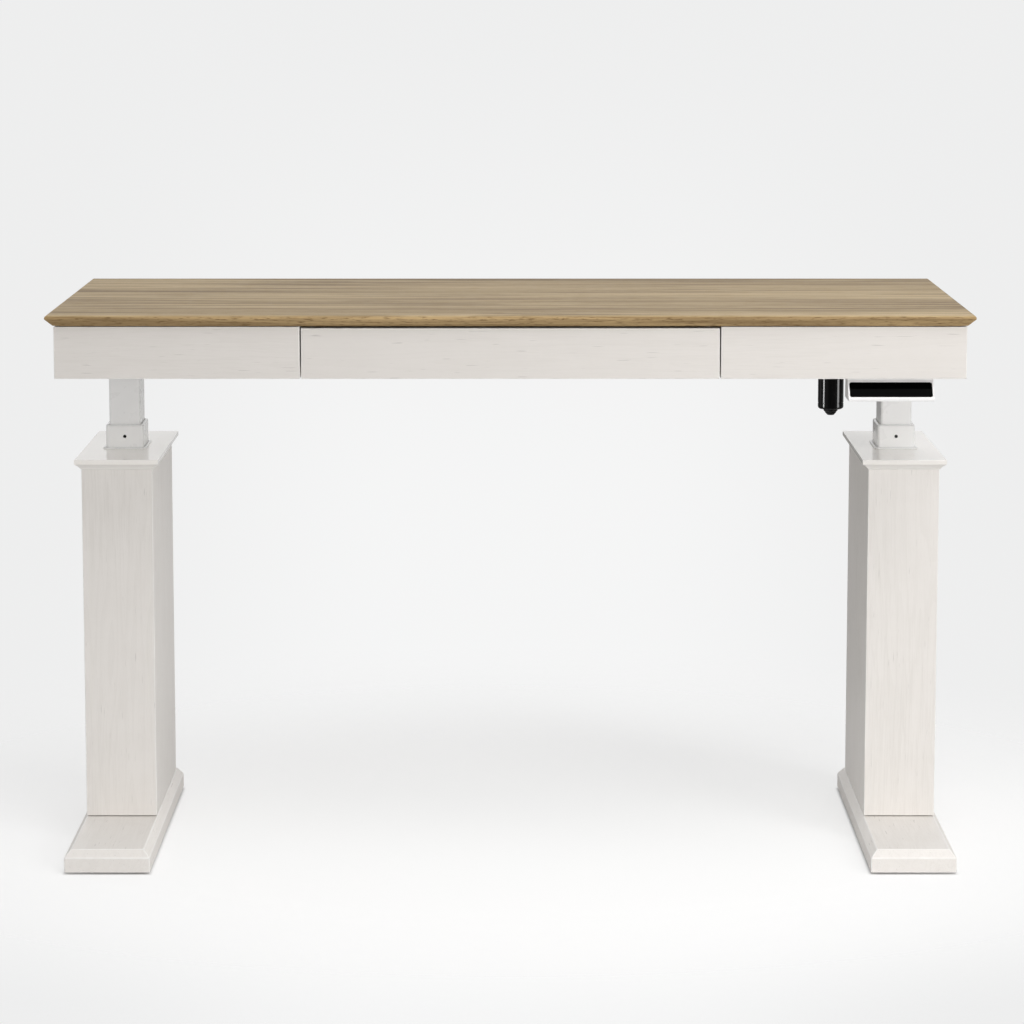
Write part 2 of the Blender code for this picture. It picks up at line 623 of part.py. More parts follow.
def handset(parent):
    """A case hung behind the right front apron, with a panel let into its tilted face."""
    x = APRON_HALF_WIDTH - HANDSET_FROM_END - HANDSET_WIDTH / 2
    along = Vector((0, -math.cos(HANDSET_TILT), -math.sin(HANDSET_TILT)))
    outwards = Vector((0, -math.sin(HANDSET_TILT), math.cos(HANDSET_TILT)))
    face_length = PANEL_LENGTH + 2 * PANEL_RIM
    top = APRON_BOTTOM - GAP
    nose_y = FRONT + HANDSET_SETBACK
    shelf = Vector((x, nose_y - along.y * face_length, top - HANDSET_RIM_DROP))
    nose = shelf + along * face_length
    bottom = nose.z - HANDSET_NOSE
    back = nose.y + HANDSET_DEPTH
    flange = APRON_BACK_FACE + GAP
    flange_top = top + HANDSET_FLANGE_HEIGHT
    outline = [
        (shelf.y, shelf.z),
        (nose.y, nose.z),
        (nose.y + HANDSET_NOSE / 4, bottom),
        (back, bottom),
        (back, top),
        (flange + HANDSET_FLANGE, top),
        (flange + HANDSET_FLANGE, flange_top),
        (flange, flange_top),
        (flange, top),
        (shelf.y, top),
    ]
    half_width = HANDSET_WIDTH / 2
    case = extrusion_x("handset_case", outline, x - half_width, x + half_width, parent, "white_plastic")
    half_sizes = (PANEL_WIDTH / 2, PANEL_LENGTH / 2)
    pocket(case, outwards, (1, 0, 0), [size + GAP for size in half_sizes], PANEL_THICKNESS)

    rings = [rounded_rectangle(*half_sizes, PANEL_RIM / 2, z) for z in (GAP, PANEL_THICKNESS)]
    place = (shelf + nose) / 2 - outwards * PANEL_THICKNESS
    panel = add("handset_panel", loft(rings), place, parent, "black_gloss")
    panel.rotation_euler.x = HANDSET_TILT


# ---------------------------------------------------------------- drawer


def channel(sign, web_x, half_height):
    """A runner's section, with its web at web_x and its flanges pointing the way that `sign` says."""
    inside = web_x + sign * RUNNER_WALL
    end = web_x + sign * RUNNER_DEPTH
    low, high = RUNNER_Z - half_height, RUNNER_Z + half_height
    return [
        (web_x, low),
        (end, low),
        (end, low + RUNNER_WALL),
        (inside, low + RUNNER_WALL),
        (inside, high - RUNNER_WALL),
        (end, high - RUNNER_WALL),
        (end, high),
        (web_x, high),
    ]


def runner_boards(parent):
    """The boards beside the drawer, each with the fixed member of a runner."""
    for side, sign in SIDES.items():
        inner = sign * DRAWER_HALF_OPENING
        faces = sorted((inner, inner + sign * APRON_THICKNESS))
        low = (faces[0], APRON_BACK_FACE + GAP, APRON_BOTTOM)
        high = (faces[1], DRAWER_BOX_BACK, APRON_TOP)
        box(f"{side}_runner_board", low, high, parent, "drawer_wood")
        section = channel(-sign, inner - sign * GAP, RUNNER_HEIGHT / 2)
        extrusion_y(f"{side}_cabinet_runner", section, *RUNNER_ENDS, parent, "steel")


def drawer(parent):
    """The drawer: front, box and the moving members of its runners."""
    half_front = DRAWER_FRONT_WIDTH / 2
    low = (-half_front, APRON_FRONT, APRON_BOTTOM)
    high = (half_front, APRON_BACK_FACE, APRON_TOP - DRAWER_TOP_GAP)
    box("drawer_front", low, high, parent, "white_wood")

    inside = DRAWER_HALF_BOX - DRAWER_WALL
    for side, sign in SIDES.items():
        faces = sorted((sign * DRAWER_HALF_BOX, sign * inside))
        low = (faces[0], DRAWER_BOX_FRONT, DRAWER_BOX_BOTTOM)
        high = (faces[1], DRAWER_BOX_BACK, DRAWER_BOX_TOP)
        box(f"drawer_{side}_side", low, high, parent, "drawer_wood")
        web = sign * (DRAWER_HALF_BOX + GAP)
        section = channel(sign, web, RUNNER_HEIGHT / 2 - 3 * RUNNER_WALL)
        extrusion_y(f"drawer_{side}_runner", section, *RUNNER_ENDS, parent, "steel")

    clear = inside - GAP
    low = (-clear, DRAWER_BOX_BACK - DRAWER_WALL, DRAWER_BOX_BOTTOM)
    high = (clear, DRAWER_BOX_BACK, DRAWER_BOX_TOP)
    box("drawer_back", low, high, parent, "drawer_wood")
    bottom = DRAWER_BOX_BOTTOM + DRAWER_BOTTOM_LIFT
    low = (-clear, DRAWER_BOX_FRONT, bottom)
    high = (clear, DRAWER_BOX_BACK - DRAWER_WALL - GAP, bottom + DRAWER_BOTTOM)
    box("drawer_bottom", low, high, parent, "drawer_wood")


# ---------------------------------------------------------------- the desk


def build_desk():
    """Makes every group and its pieces."""
    clear_scene()
    base = empty("base", (0, 0, 0))
    top = empty("rising_top", (0, COLUMN_Y, 0), base)
    drawer_group = empty("drawer_group", (0, DRAWER_BOX_FRONT, RUNNER_Z), top)

    for side, sign in SIDES.items():
        x = sign * COLUMN_X
        foot(side, x, base)
        pedestal(side, x, sign, base)
        cap(side, x, base)
        fixed_column(side, x, base)
        rising_column(side, x, top)
        inner_x = MOTOR_GEARBOX_INNER_X if side == "right" else GEARBOX_INNER_X
        gearbox(side, x, sign, inner_x, top)
        spindle(side, x, top)

    tabletop(top)
    aprons(top)
    crossbeam(top)
    drive_rod(top)
    motor(top)
    control_box(top)
    handset(top)
    runner_boards(top)
    drawer(drawer_group)


build_desk()
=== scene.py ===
"""Fine shapes, finishes and studio of a height adjustable standing desk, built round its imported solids.

Metres, +Z up, and the front of the desk faces -Y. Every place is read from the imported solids.
"""

import logging
import math
from dataclasses import dataclass, field
from enum import Enum
from functools import cached_property
from typing import Any, Iterable, Optional, Sequence

import bmesh
import bpy
from mathutils import Matrix, Vector


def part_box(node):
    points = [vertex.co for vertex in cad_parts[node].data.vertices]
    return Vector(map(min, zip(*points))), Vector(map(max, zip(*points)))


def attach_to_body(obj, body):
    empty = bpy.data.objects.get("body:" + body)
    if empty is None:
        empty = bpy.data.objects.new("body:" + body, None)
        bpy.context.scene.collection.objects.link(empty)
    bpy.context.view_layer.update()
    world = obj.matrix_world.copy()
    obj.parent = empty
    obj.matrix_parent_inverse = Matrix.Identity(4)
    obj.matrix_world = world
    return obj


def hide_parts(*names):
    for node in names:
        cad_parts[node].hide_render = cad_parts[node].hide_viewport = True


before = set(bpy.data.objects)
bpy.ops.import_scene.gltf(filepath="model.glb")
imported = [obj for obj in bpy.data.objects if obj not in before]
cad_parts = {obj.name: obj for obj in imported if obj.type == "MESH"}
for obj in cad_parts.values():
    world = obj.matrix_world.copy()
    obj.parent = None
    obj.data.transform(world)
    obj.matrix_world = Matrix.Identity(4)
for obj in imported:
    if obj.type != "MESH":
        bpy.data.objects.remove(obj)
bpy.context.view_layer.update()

Colour = tuple[float, float, float]
Point = Sequence[float]
Ring = list[tuple[float, float, float]]
Section = Sequence[tuple[float, float]]
Places = list[tuple[Point, Point]]
Socket = bpy.types.NodeSocket
Node = bpy.types.Node

log = logging.getLogger("desk")

EDGE_LAYER = "edge"
BOARD_LAYER = "board"
AIM_LAYER = "aim"
MERGE_DISTANCE = 1e-6
FLAT_ANGLE = math.radians(0.5)
NAME_CYCLE = 97
NAME_STEP = 7
UP = (0.0, 0.0, 1.0)
DOWN = (0.0, 0.0, -1.0)
FORWARD = (0.0, -1.0, 0.0)
BACKWARD = (0.0, 1.0, 0.0)
SOCKET_TYPES = {float: "NodeSocketFloat", int: "NodeSocketInt"}


# ---------------------------------------------------------------- named options


class Side(Enum):
    """The two ends of the desk, each with its direction along X."""

    LEFT = -1
    RIGHT = 1

    @property
    def label(self) -> str:
        """The word that starts the names of this side's pieces."""
        return self.name.lower()


class GrainAxis(Enum):
    """Which way a board's grain runs, as the turn that brings that way onto X."""

    ALONG_X = (0.0, 0.0, 0.0)
    ALONG_Y = (0.0, 0.0, -math.pi / 2)
    ALONG_Z = (0.0, math.pi / 2, 0.0)


class Body(Enum):
    """The moving groups of the desk."""

    BASE = "base"
    TOP = "rising_top"
    DRAWER = "drawer"
    LEFT_SPINDLE = "left_spindle"
    RIGHT_SPINDLE = "right_spindle"
    DRIVE_ROD = "drive_rod"


# ---------------------------------------------------------------- node wiring


def new_group(
    name: str, kind: str, inputs: dict[str, Any], outputs: dict[str, str]
) -> tuple[bpy.types.NodeTree, Node, Node]:
    """Makes an empty node group with named sockets.

    Args:
        name: The group's name.
        kind: The tree's type name.
        inputs: Each input's default number, or its socket type where it has no default.
        outputs: Socket type of each output.

    Returns:
        The tree, its input node and its output node.
    """
    tree = bpy.data.node_groups.new(name, kind)
    for label, given in inputs.items():
        socket_type = given if isinstance(given, str) else SOCKET_TYPES[type(given)]
        socket = tree.interface.new_socket(name=label, in_out="INPUT", socket_type=socket_type)
        if not isinstance(given, str):
            socket.default_value = given
    for label, socket_type in outputs.items():
        tree.interface.new_socket(name=label, in_out="OUTPUT", socket_type=socket_type)
    return tree, tree.nodes.new("NodeGroupInput"), tree.nodes.new("NodeGroupOutput")


class Wiring:
    """Adds and links the nodes of one tree."""

    def __init__(self, tree: bpy.types.NodeTree) -> None:
        """Starts on an existing tree."""
        self.tree = tree

    def node(self, kind: str, **settings: Any) -> Node:
        """Adds a node.

        Args:
            kind: The node's type name.
            settings: Properties of the node, by name.

        Returns:
            The new node.
        """
        made = self.tree.nodes.new(kind)
        for name, value in settings.items():
            setattr(made, name, value)
        return made

    def feed(self, socket: Socket, value: Any) -> None:
        """Gives an input its value.

        Args:
            socket: The input.
            value: A socket to link, a plain value, or None to leave it as it is.
        """
        if isinstance(value, Socket):
            self.tree.links.new(value, socket)
        elif value is not None:
            socket.default_value = value

    def fill(self, node: Node, values: dict[str, Any]) -> Node:
        """Feeds a node's inputs by name.

        Args:
            node: The node.
            values: A socket or a plain value for each name.

        Returns:
            The same node.
        """
        for name, value in values.items():
            self.feed(node.inputs[name], value)
        return node

    def result(self, kind: str, *values: Any, **settings: Any) -> Socket:
        """Adds a node and feeds its inputs in their order.

        Args:
            kind: The node's type name.
            values: A socket or a plain value for each input.
            settings: Properties of the node, by name.

        Returns:
            The node's first output.
        """
        made = self.node(kind, **settings)
        for socket, value in zip(made.inputs, values):
            self.feed(socket, value)
        return made.outputs[0]

    def math(self, operation: str, *values: Any) -> Socket:
        """A Math node's result."""
        return self.result("ShaderNodeMath", *values, operation=operation)

    def vector(self, x: Any, y: Any, z: Any) -> Socket:
        """Three values joined into a vector."""
        return self.result("ShaderNodeCombineXYZ", x, y, z)


class ShaderWiring(Wiring):
    """Wiring with the nodes that shaders use."""

    def vector_math(self, operation: str, first: Any, second: Any) -> Socket:
        """A Vector Math node's vector result."""
        return self.result("ShaderNodeVectorMath", first, second, operation=operation)

    def split(self, vector: Socket) -> Sequence[Socket]:
        """The three parts of a vector."""
        return self.result("ShaderNodeSeparateXYZ", vector).node.outputs

    def noise(self, vector: Any, scale: float = 1.0, detail: float = 2.0, roughness: float = 0.5) -> Socket:
        """A noise value between about 0.2 and 0.8, with finer octaves by detail and roughness."""
        values = {"Vector": vector, "Scale": scale, "Detail": detail, "Roughness": roughness}
        return self.fill(self.node("ShaderNodeTexNoise"), values).outputs[0]

    def spread(self, value: Any, low: Any, high: Any, to_low: Any = 0.0, to_high: Any = 1.0) -> Socket:
        """Maps a value smoothly from low..high onto another range."""
        limits = (low, high, to_low, to_high)
        return self.result("ShaderNodeMapRange", value, *limits, interpolation_type="SMOOTHSTEP")

    def blend(self, factor: Any, first: Any, second: Any) -> Socket:
        """Mixes two colours.

        Args:
            factor: Share of the second colour.
            first: A plain colour or a socket.
            second: A plain colour or a socket.

        Returns:
            The mixed colour.
        """
        made = self.node("ShaderNodeMix", data_type="RGBA")
        first_input, second_input = made.inputs[6], made.inputs[7]
        self.feed(made.inputs[0], factor)
        self.feed(first_input, opaque(first))
        self.feed(second_input, opaque(second))
        return made.outputs[2]

    def layered(self, colour: Any, layers: Iterable[tuple[Socket, float]], over: Any) -> Socket:
        """Lays one colour over another through several masks.

        Args:
            colour: The colour to start from.
            layers: The masks, each with its share.
            over: The colour that the masks bring in.

        Returns:
            The layered colour.
        """
        for mask, share in layers:
            colour = self.blend(self.math("MULTIPLY", mask, share), colour, over)
        return colour

    def mix_shaders(self, factor: Any, first: Socket, second: Socket) -> Socket:
        """Mixes two shaders."""
        return self.result("ShaderNodeMixShader", factor, first, second)

    def attribute(self, name: str) -> Socket:
        """The value of one of the piece's own layers."""
        return self.node("ShaderNodeAttribute", attribute_name=name).outputs["Fac"]

    def object_place(self) -> Socket:
        """Where on the piece a point lies."""
        return self.node("ShaderNodeTexCoord").outputs["Object"]

    def turned_place(self, axis: GrainAxis) -> Socket:
        """Where on the piece a point lies, with the grain brought onto X."""
        values = {"Vector": self.object_place(), "Rotation": axis.value}
        return self.fill(self.node("ShaderNodeMapping"), values).outputs[0]

    def bump(self, height: Any, distance: float, strength: float = 1.0) -> Socket:
        """A normal raised by a height."""
        values = {"Height": height, "Distance": distance, "Strength": strength}
        return self.fill(self.node("ShaderNodeBump"), values).outputs[0]

    def effect(self, tree: bpy.types.NodeTree, values: dict[str, Any]) -> Sequence[Socket]:
        """Places a shared effect, sets or links its inputs by name and gives its outputs."""
        return self.fill(self.node("ShaderNodeGroup", node_tree=tree), values).outputs


def opaque(colour: Any) -> Any:
    """A plain colour with full alpha, or the socket itself."""
    return (*colour, 1.0) if isinstance(colour, (tuple, list)) else colour


def new_effect(name: str, values: dict[str, float], results: Sequence[str]) -> tuple[ShaderWiring, Node, Node]:
    """Starts a shader effect that reads a place and some numbers.

    Args:
        name: The effect's name.
        values: Its numbers, with their defaults.
        results: The names of its outputs.

    Returns:
        Its wiring, its input node and its output node.
    """
    inputs = {"Vector": "NodeSocketVector", **values}
    tree, given, result = new_group(name, "ShaderNodeTree", inputs, dict.fromkeys(results, "NodeSocketFloat"))
    return ShaderWiring(tree), given, result


class EffectLibrary:
    """The shader effects that several finishes share, each built the first time it is asked for."""

    @cached_property
    def grain(self) -> bpy.types.NodeTree:
        """Wood grain: wide bands, growth rings, long streaks and short pores that all follow X.

        Returns:
            The effect's tree.
        """
        patterns = {
            "Band Length": 1.4,
            "Band Spacing": 0.06,
            "Streak Length": 0.6,
            "Streak Spacing": 0.02,
            "Pore Length": 0.02,
            "Pore Spacing": 0.001,
        }
        numbers = {"Board": 0.0, "Wander": 0.03, "Rings": 9.0, **patterns}
        wiring, given, result = new_effect("wood_grain", numbers, ("Band", "Streak", "Pore", "Ring"))
        board = given.outputs["Board"]
        shift = wiring.vector_math("MULTIPLY", wiring.vector(board, board, board), (1.31, 0.77, 0.53))
        own = wiring.vector_math("ADD", given.outputs["Vector"], shift)
        slow = wiring.noise(wiring.vector_math("MULTIPLY", own, (0.9, 3.0, 3.0)), detail=1.0)
        swing = wiring.math("MULTIPLY", wiring.math("SUBTRACT", slow, 0.5), given.outputs["Wander"])
        bent = wiring.vector_math("ADD", own, wiring.vector(0.0, swing, swing))

        def cells(name: str) -> Socket:
            """The place measured in cells of one pattern."""
            length, across = given.outputs[f"{name} Length"], given.outputs[f"{name} Spacing"]
            return wiring.vector_math("DIVIDE", bent, wiring.vector(length, across, across))

        growth = wiring.noise(cells("Band"), detail=1.2, roughness=0.4)
        turn = wiring.math("FRACT", wiring.math("MULTIPLY", growth, given.outputs["Rings"]))
        streak = wiring.spread(wiring.noise(cells("Streak"), detail=3.0, roughness=0.55), 0.49, 0.62)
        where = wiring.noise(wiring.vector_math("MULTIPLY", bent, (2.2, 9.0, 9.0)), detail=1.0)
        wiring.fill(result, {
            "Band": wiring.spread(growth, 0.32, 0.68),
            "Ring": wiring.math("MULTIPLY", wiring.spread(turn, 0.30, 0.94), wiring.spread(turn, 1.0, 0.97)),
            "Streak": wiring.math("MULTIPLY", streak, wiring.spread(where, 0.38, 0.58)),
            "Pore": wiring.spread(wiring.noise(cells("Pore"), detail=2.0, roughness=0.6), 0.52, 0.70),
        })
        return wiring.tree

    @cached_property
    def speckle(self) -> bpy.types.NodeTree:
        """Fine unevenness: a soft mottle and a small even texture.

        Returns:
            The effect's tree.
        """
        sizes = {"Mottle Size": 0.05, "Texture Size": 0.0008}
        wiring, given, result = new_effect("fine_speckle", sizes, ("Mottle", "Texture"))
        for name in ("Mottle", "Texture"):
            size = given.outputs[f"{name} Size"]
            place = wiring.vector_math("DIVIDE", given.outputs["Vector"], wiring.vector(size, size, size))
            value = wiring.spread(wiring.noise(place, detail=3.0, roughness=0.55), 0.3, 0.7)
            wiring.feed(result.inputs[name], value)
        return wiring.tree

    @cached_property
    def wear(self) -> bpy.types.NodeTree:
        """Where an edge is rubbed or carries a painted highlight: the rounded edges, broken up.

        Returns:
            The effect's tree.
        """
        wiring, given, result = new_effect("edge_wear", {"Edge": 0.0, "Evenness": 0.6}, ("Wear",))
        noise = wiring.noise(given.outputs["Vector"], scale=38.0, detail=4.0)
        broken = wiring.spread(noise, 0.35, 0.65, given.outputs["Evenness"], 1.0)
        wiring.feed(result.inputs["Wear"], wiring.math("MULTIPLY", given.outputs["Edge"], broken))
        return wiring.tree

    @cached_property
    def dust(self) -> bpy.types.NodeTree:
        """Sparse specks and faint wiping marks on a gloss surface.

        Returns:
            The effect's tree.
        """
        wiring, given, result = new_effect("surface_dust", {}, ("Speck", "Smear"))
        place = given.outputs["Vector"]
        wiped = wiring.vector_math("MULTIPLY", place, (30.0, 30.0, 9.0))
        wiring.fill(result, {
            "Speck": wiring.spread(wiring.noise(place, scale=420.0, detail=1.0), 0.74, 0.80),
            "Smear": wiring.spread(wiring.noise(wiped, detail=4.0), 0.35, 0.75),
        })
        return wiring.tree


EFFECTS = EffectLibrary()


# ---------------------------------------------------------------- finishes


@dataclass(frozen=True)
class GrainSizes:
    """How far apart the marks of a wood grain lie: lengths along it and spacings across it."""

    wander: float
    band: tuple[float, float]
    streak: tuple[float, float]
    pore: tuple[float, float]
    rings: float
    shift: float = 0.0

    def marks(self, wiring: ShaderWiring, place: Socket) -> Sequence[Socket]:
        """Adds the grain effect with these sizes.

        Args:
            wiring: The material's nodes.
            place: The place on the piece, with the grain on X.

        Returns:
            The effect's outputs.
        """
        board = wiring.math("ADD", wiring.attribute(BOARD_LAYER), self.shift)
        values = {"Vector": place, "Board": board, "Wander": self.wander, "Rings": self.rings}
        for name, sizes in (("Band", self.band), ("Streak", self.streak), ("Pore", self.pore)):
            values[f"{name} Length"], values[f"{name} Spacing"] = sizes
        return wiring.effect(EFFECTS.grain, values)


@dataclass(frozen=True)
class Finish:
    """A surface finish, and the record's slot that it belongs to."""

    name: str
    slot: str
    base: Colour
    roughness: float = 0.5

    def material(self) -> bpy.types.Material:
        """The finish as a material, made once.

        Returns:
            The material.
        """
        found = bpy.data.materials.get(self.name)
        if found is not None:
            return found
        made = bpy.data.materials.new(self.name)
        made.use_nodes = True
        made.diffuse_color = opaque(self.base)
        wiring = ShaderWiring(made.node_tree)
        shader = made.node_tree.nodes["Principled BSDF"]
        wiring.fill(shader, {"Base Color": opaque(self.base), "Roughness": self.roughness})
        wiring.fill(shader, self.wire(wiring))
        return made

    def wire(self, wiring: ShaderWiring) -> dict[str, Any]:
        """Adds this finish's own pattern.

        Args:
            wiring: The material's nodes.

        Returns:
            A socket or a plain value for each shader input that the finish sets.
        """
        raise NotImplementedError(self.name)


def worn_edges(wiring: ShaderWiring, place: Socket, evenness: float) -> Socket:
    """The mask of a piece's rounded edges, which are lighter as worn edges and as a painted highlight."""
    values = {"Vector": place, "Edge": wiring.attribute(EDGE_LAYER), "Evenness": evenness}
    return wiring.effect(EFFECTS.wear, values)["Wear"]


def speckled(wiring: ShaderWiring, place: Socket, mottle: float, texture: float) -> Sequence[Socket]:
    """The mottle and the texture of a surface, by their sizes."""
    return wiring.effect(EFFECTS.speckle, {"Vector": place, "Mottle Size": mottle, "Texture Size": texture})


@dataclass(frozen=True)
class OakLaminate(Finish):
    """Light oak laminate, with a warmer and coarser wrapped edge below blend_height."""

    axis: GrainAxis = GrainAxis.ALONG_X
    mid: Colour = (0.395, 0.290, 0.158)
    streak: Colour = (0.165, 0.102, 0.045)
    edge_light: Colour = (0.500, 0.352, 0.178)
    edge_dark: Colour = (0.150, 0.090, 0.036)
    blend_height: float = 0.8655
    blend_half: float = 0.0007
    ragged_depth: float = 0.0016
    ragged_scale: tuple[float, float, float] = (60.0, 260.0, 260.0)
    wide: GrainSizes = GrainSizes(0.09, (2.4, 0.105), (1.15, 0.026), (0.045, 0.0012), 8.0)
    fine: GrainSizes = GrainSizes(0.030, (0.60, 0.016), (0.26, 0.0085), (0.016, 0.0022), 5.0, shift=3.7)
    pore_gloss: float = 0.16
    pore_depth: float = 0.00012
    specular: float = 0.10

    def wire(self, wiring: ShaderWiring) -> dict[str, Any]:
        """Adds bands, streaks and pores, and the warmer edge.

        Args:
            wiring: The material's nodes.

        Returns:
            The shader's inputs.
        """
        place = wiring.turned_place(self.axis)
        wide, fine = self.wide.marks(wiring, place), self.fine.marks(wiring, place)
        face = wiring.layered(self.base, ((wide["Band"], 1.0), (fine["Band"], 0.45)), self.mid)
        lines = ((wide["Ring"], 0.34), (wide["Streak"], 0.68), (fine["Streak"], 0.48), (wide["Pore"], 0.34))
        face = wiring.layered(face, lines, self.streak)
        coarse = ((fine["Band"], 0.5), (fine["Pore"], 0.85), (fine["Ring"], 0.35))
        edge = wiring.layered(self.edge_light, coarse, self.edge_dark)

        ragged = wiring.noise(wiring.vector_math("MULTIPLY", place, self.ragged_scale), detail=2.0)
        offset = wiring.math("MULTIPLY", wiring.math("SUBTRACT", ragged, 0.5), self.ragged_depth)
        level = wiring.math("ADD", wiring.split(wiring.object_place())[2], offset)
        low, high = self.blend_height - self.blend_half, self.blend_height + self.blend_half
        mask = wiring.spread(level, low, high, 1.0, 0.0)
        pores = wiring.math("MAXIMUM", wide["Pore"], wiring.math("MULTIPLY", fine["Pore"], 0.6))
        return {
            "Base Color": wiring.blend(mask, face, edge),
            "Roughness": wiring.math("MULTIPLY_ADD", pores, self.pore_gloss, self.roughness),
            "Normal": wiring.bump(wiring.math("MULTIPLY", pores, -1.0), self.pore_depth, 0.7),
            "Specular IOR Level": self.specular,
        }


@dataclass(frozen=True)
class PaintedWood(Finish):
    """Warm white paint that lets a faint grain through, lighter where the edges are rounded: partly worn, partly a
    painted highlight.
    """

    axis: GrainAxis = GrainAxis.ALONG_X
    grain: Colour = (0.66, 0.625, 0.58)
    # The rounded edges' colour: partly worn paint, partly a painted highlight.
    edge: Colour = (0.93, 0.915, 0.89)
    strength: float = 1.0
    relief: float = 0.25
    sizes: GrainSizes = GrainSizes(0.05, (0.40, 0.030), (0.070, 0.0028), (0.018, 0.0009), 7.0)
    mottle_size: float = 0.07
    texture_size: float = 0.0011
    evenness: float = 0.55
    scratch_scale: tuple[float, float, float] = (26.0, 520.0, 520.0)
    scratch_dark: float = 0.6
    pore_gloss: float = 0.14
    pore_depth: float = 0.00009
    texture_share: float = 0.30
    specular: float = 0.4

    def wire(self, wiring: ShaderWiring) -> dict[str, Any]:
        """Adds the grain, small scratches and paler edges, which stand for worn paint and a painted highlight.

        Args:
            wiring: The material's nodes.

        Returns:
            The shader's inputs.
        """
        place = wiring.turned_place(self.axis)
        marks = self.sizes.marks(wiring, place)
        speckle = speckled(wiring, place, self.mottle_size, self.texture_size)
        shares = (("Ring", 0.10), ("Streak", 0.16), ("Pore", 0.13))
        layers = [(marks[name], share * self.strength) for name, share in shares]
        colour = wiring.layered(self.base, [*layers, (speckle["Mottle"], 0.10)], self.grain)
        scratches = wiring.noise(wiring.vector_math("MULTIPLY", place, self.scratch_scale), detail=1.0)
        scratched = ((wiring.spread(scratches, 0.71, 0.79), 0.50 * self.strength),)
        colour = wiring.layered(colour, scratched, tuple(self.scratch_dark * part for part in self.grain))
        rough = self.roughness + self.pore_gloss * self.strength
        inputs = {
            # Paler rounded edges: worn paint and a painted highlight.
            "Base Color": wiring.layered(colour, ((worn_edges(wiring, place, self.evenness), 0.80),), self.edge),
            "Roughness": wiring.spread(marks["Pore"], 0.0, 1.0, self.roughness, rough),
            "Specular IOR Level": self.specular,
        }
        if self.relief > 0.0:
            sunk = wiring.math("MAXIMUM", marks["Pore"], marks["Streak"])
            texture = wiring.math("MULTIPLY", speckle["Texture"], self.texture_share)
            height = wiring.math("MULTIPLY_ADD", sunk, -1.0, texture)
            inputs["Normal"] = wiring.bump(height, self.pore_depth, self.relief)
        return inputs


@dataclass(frozen=True)
class EvenCoat(Finish):
    """Powder coat, lacquer or moulded plastic: one colour with a mottle and a fine texture."""

    shade: float = 0.94
    # Lighter colour on the rounded edges: partly worn, partly a painted highlight.
    edge_tint: Colour = (0.9, 0.9, 0.9)
    edge_amount: float = 0.25
    evenness: float = 0.7
    mottle_size: float = 0.05
    texture_size: float = 0.0009
    texture_depth: float = 0.00006
    roughness_swing: float = 0.06
    specular: float = 0.5

    def wire(self, wiring: ShaderWiring) -> dict[str, Any]:
        """Adds the mottle, the texture and slightly lighter edges, which stand for worn edges and a painted highlight.

        Args:
            wiring: The material's nodes.

        Returns:
            The shader's inputs.
        """
        place = wiring.object_place()
        speckle = speckled(wiring, place, self.mottle_size, self.texture_size)
        colour = wiring.blend(speckle["Mottle"], self.base, tuple(self.shade * part for part in self.base))
        # Lighter rounded edges: worn edges and a painted highlight.
        rubbed = ((worn_edges(wiring, place, self.evenness), self.edge_amount),)
        swing = (self.roughness - self.roughness_swing, self.roughness + self.roughness_swing)
        inputs = {
            "Base Color": wiring.layered(colour, rubbed, self.edge_tint),
            "Roughness": wiring.spread(speckle["Mottle"], 0.0, 1.0, *swing),
            "Specular IOR Level": self.specular,
        }
        if self.texture_depth > 0.0:
            inputs["Normal"] = wiring.bump(speckle["Texture"], self.texture_depth)
        return inputs


@dataclass(frozen=True)
class GlossBlack(Finish):
    """Deep gloss black with a few specks of dust and faint wiping marks."""

    dust: Colour = (0.16, 0.16, 0.16)
    dust_amount: float = 0.5
    smear_gloss: float = 0.05
    specular: float = 0.5

    def wire(self, wiring: ShaderWiring) -> dict[str, Any]:
        """Adds specks to the colour and marks to the gloss.

        Args:
            wiring: The material's nodes.

        Returns:
            The shader's inputs.
        """
        marks = wiring.effect(EFFECTS.dust, {"Vector": wiring.object_place()})
        dull = self.roughness + self.smear_gloss
        return {
            "Base Color": wiring.layered(self.base, ((marks["Speck"], self.dust_amount),), self.dust),
            "Roughness": wiring.spread(marks["Smear"], 0.0, 1.0, self.roughness, dull),
            "Specular IOR Level": self.specular,
        }


@dataclass(frozen=True)
class BareMetal(Finish):
    """Uncoated metal with drawn or turned lines along one axis, and bright edges that stand for worn metal and a
    painted highlight.
    """

    axis: GrainAxis = GrainAxis.ALONG_Z
    dull: Colour = (0.40, 0.40, 0.41)
    line_spacing: float = 0.0004
    line_length: float = 0.03
    line_gloss: float = 0.14
    line_depth: float = 0.00002
    mottle_size: float = 0.012
    texture_size: float = 0.0006
    evenness: float = 0.4
    # How much lighter the rounded edges are: partly worn metal, partly a painted highlight.
    brightening: float = 1.25

    def wire(self, wiring: ShaderWiring) -> dict[str, Any]:
        """Adds the lines, a dull mottle and bright edges, partly worn and partly a painted highlight.

        Args:
            wiring: The material's nodes.

        Returns:
            The shader's inputs.
        """
        place = wiring.turned_place(self.axis)
        stretched = wiring.vector_math("DIVIDE", place, (self.line_length, self.line_spacing, self.line_spacing))
        lines = wiring.spread(wiring.noise(stretched, detail=2.0), 0.3, 0.7)
        mottle = speckled(wiring, place, self.mottle_size, self.texture_size)["Mottle"]
        colour = wiring.layered(self.base, ((mottle, 0.55),), self.dull)
        bright = tuple(min(1.0, self.brightening * part) for part in self.base)
        return {
            # Brighter rounded edges: worn metal and a painted highlight.
            "Base Color": wiring.layered(colour, ((worn_edges(wiring, place, self.evenness), 0.6),), bright),
            "Roughness": wiring.spread(lines, 0.0, 1.0, self.roughness, self.roughness + self.line_gloss),
            "Normal": wiring.bump(lines, self.line_depth),
            "Metallic": 1.0,
        }


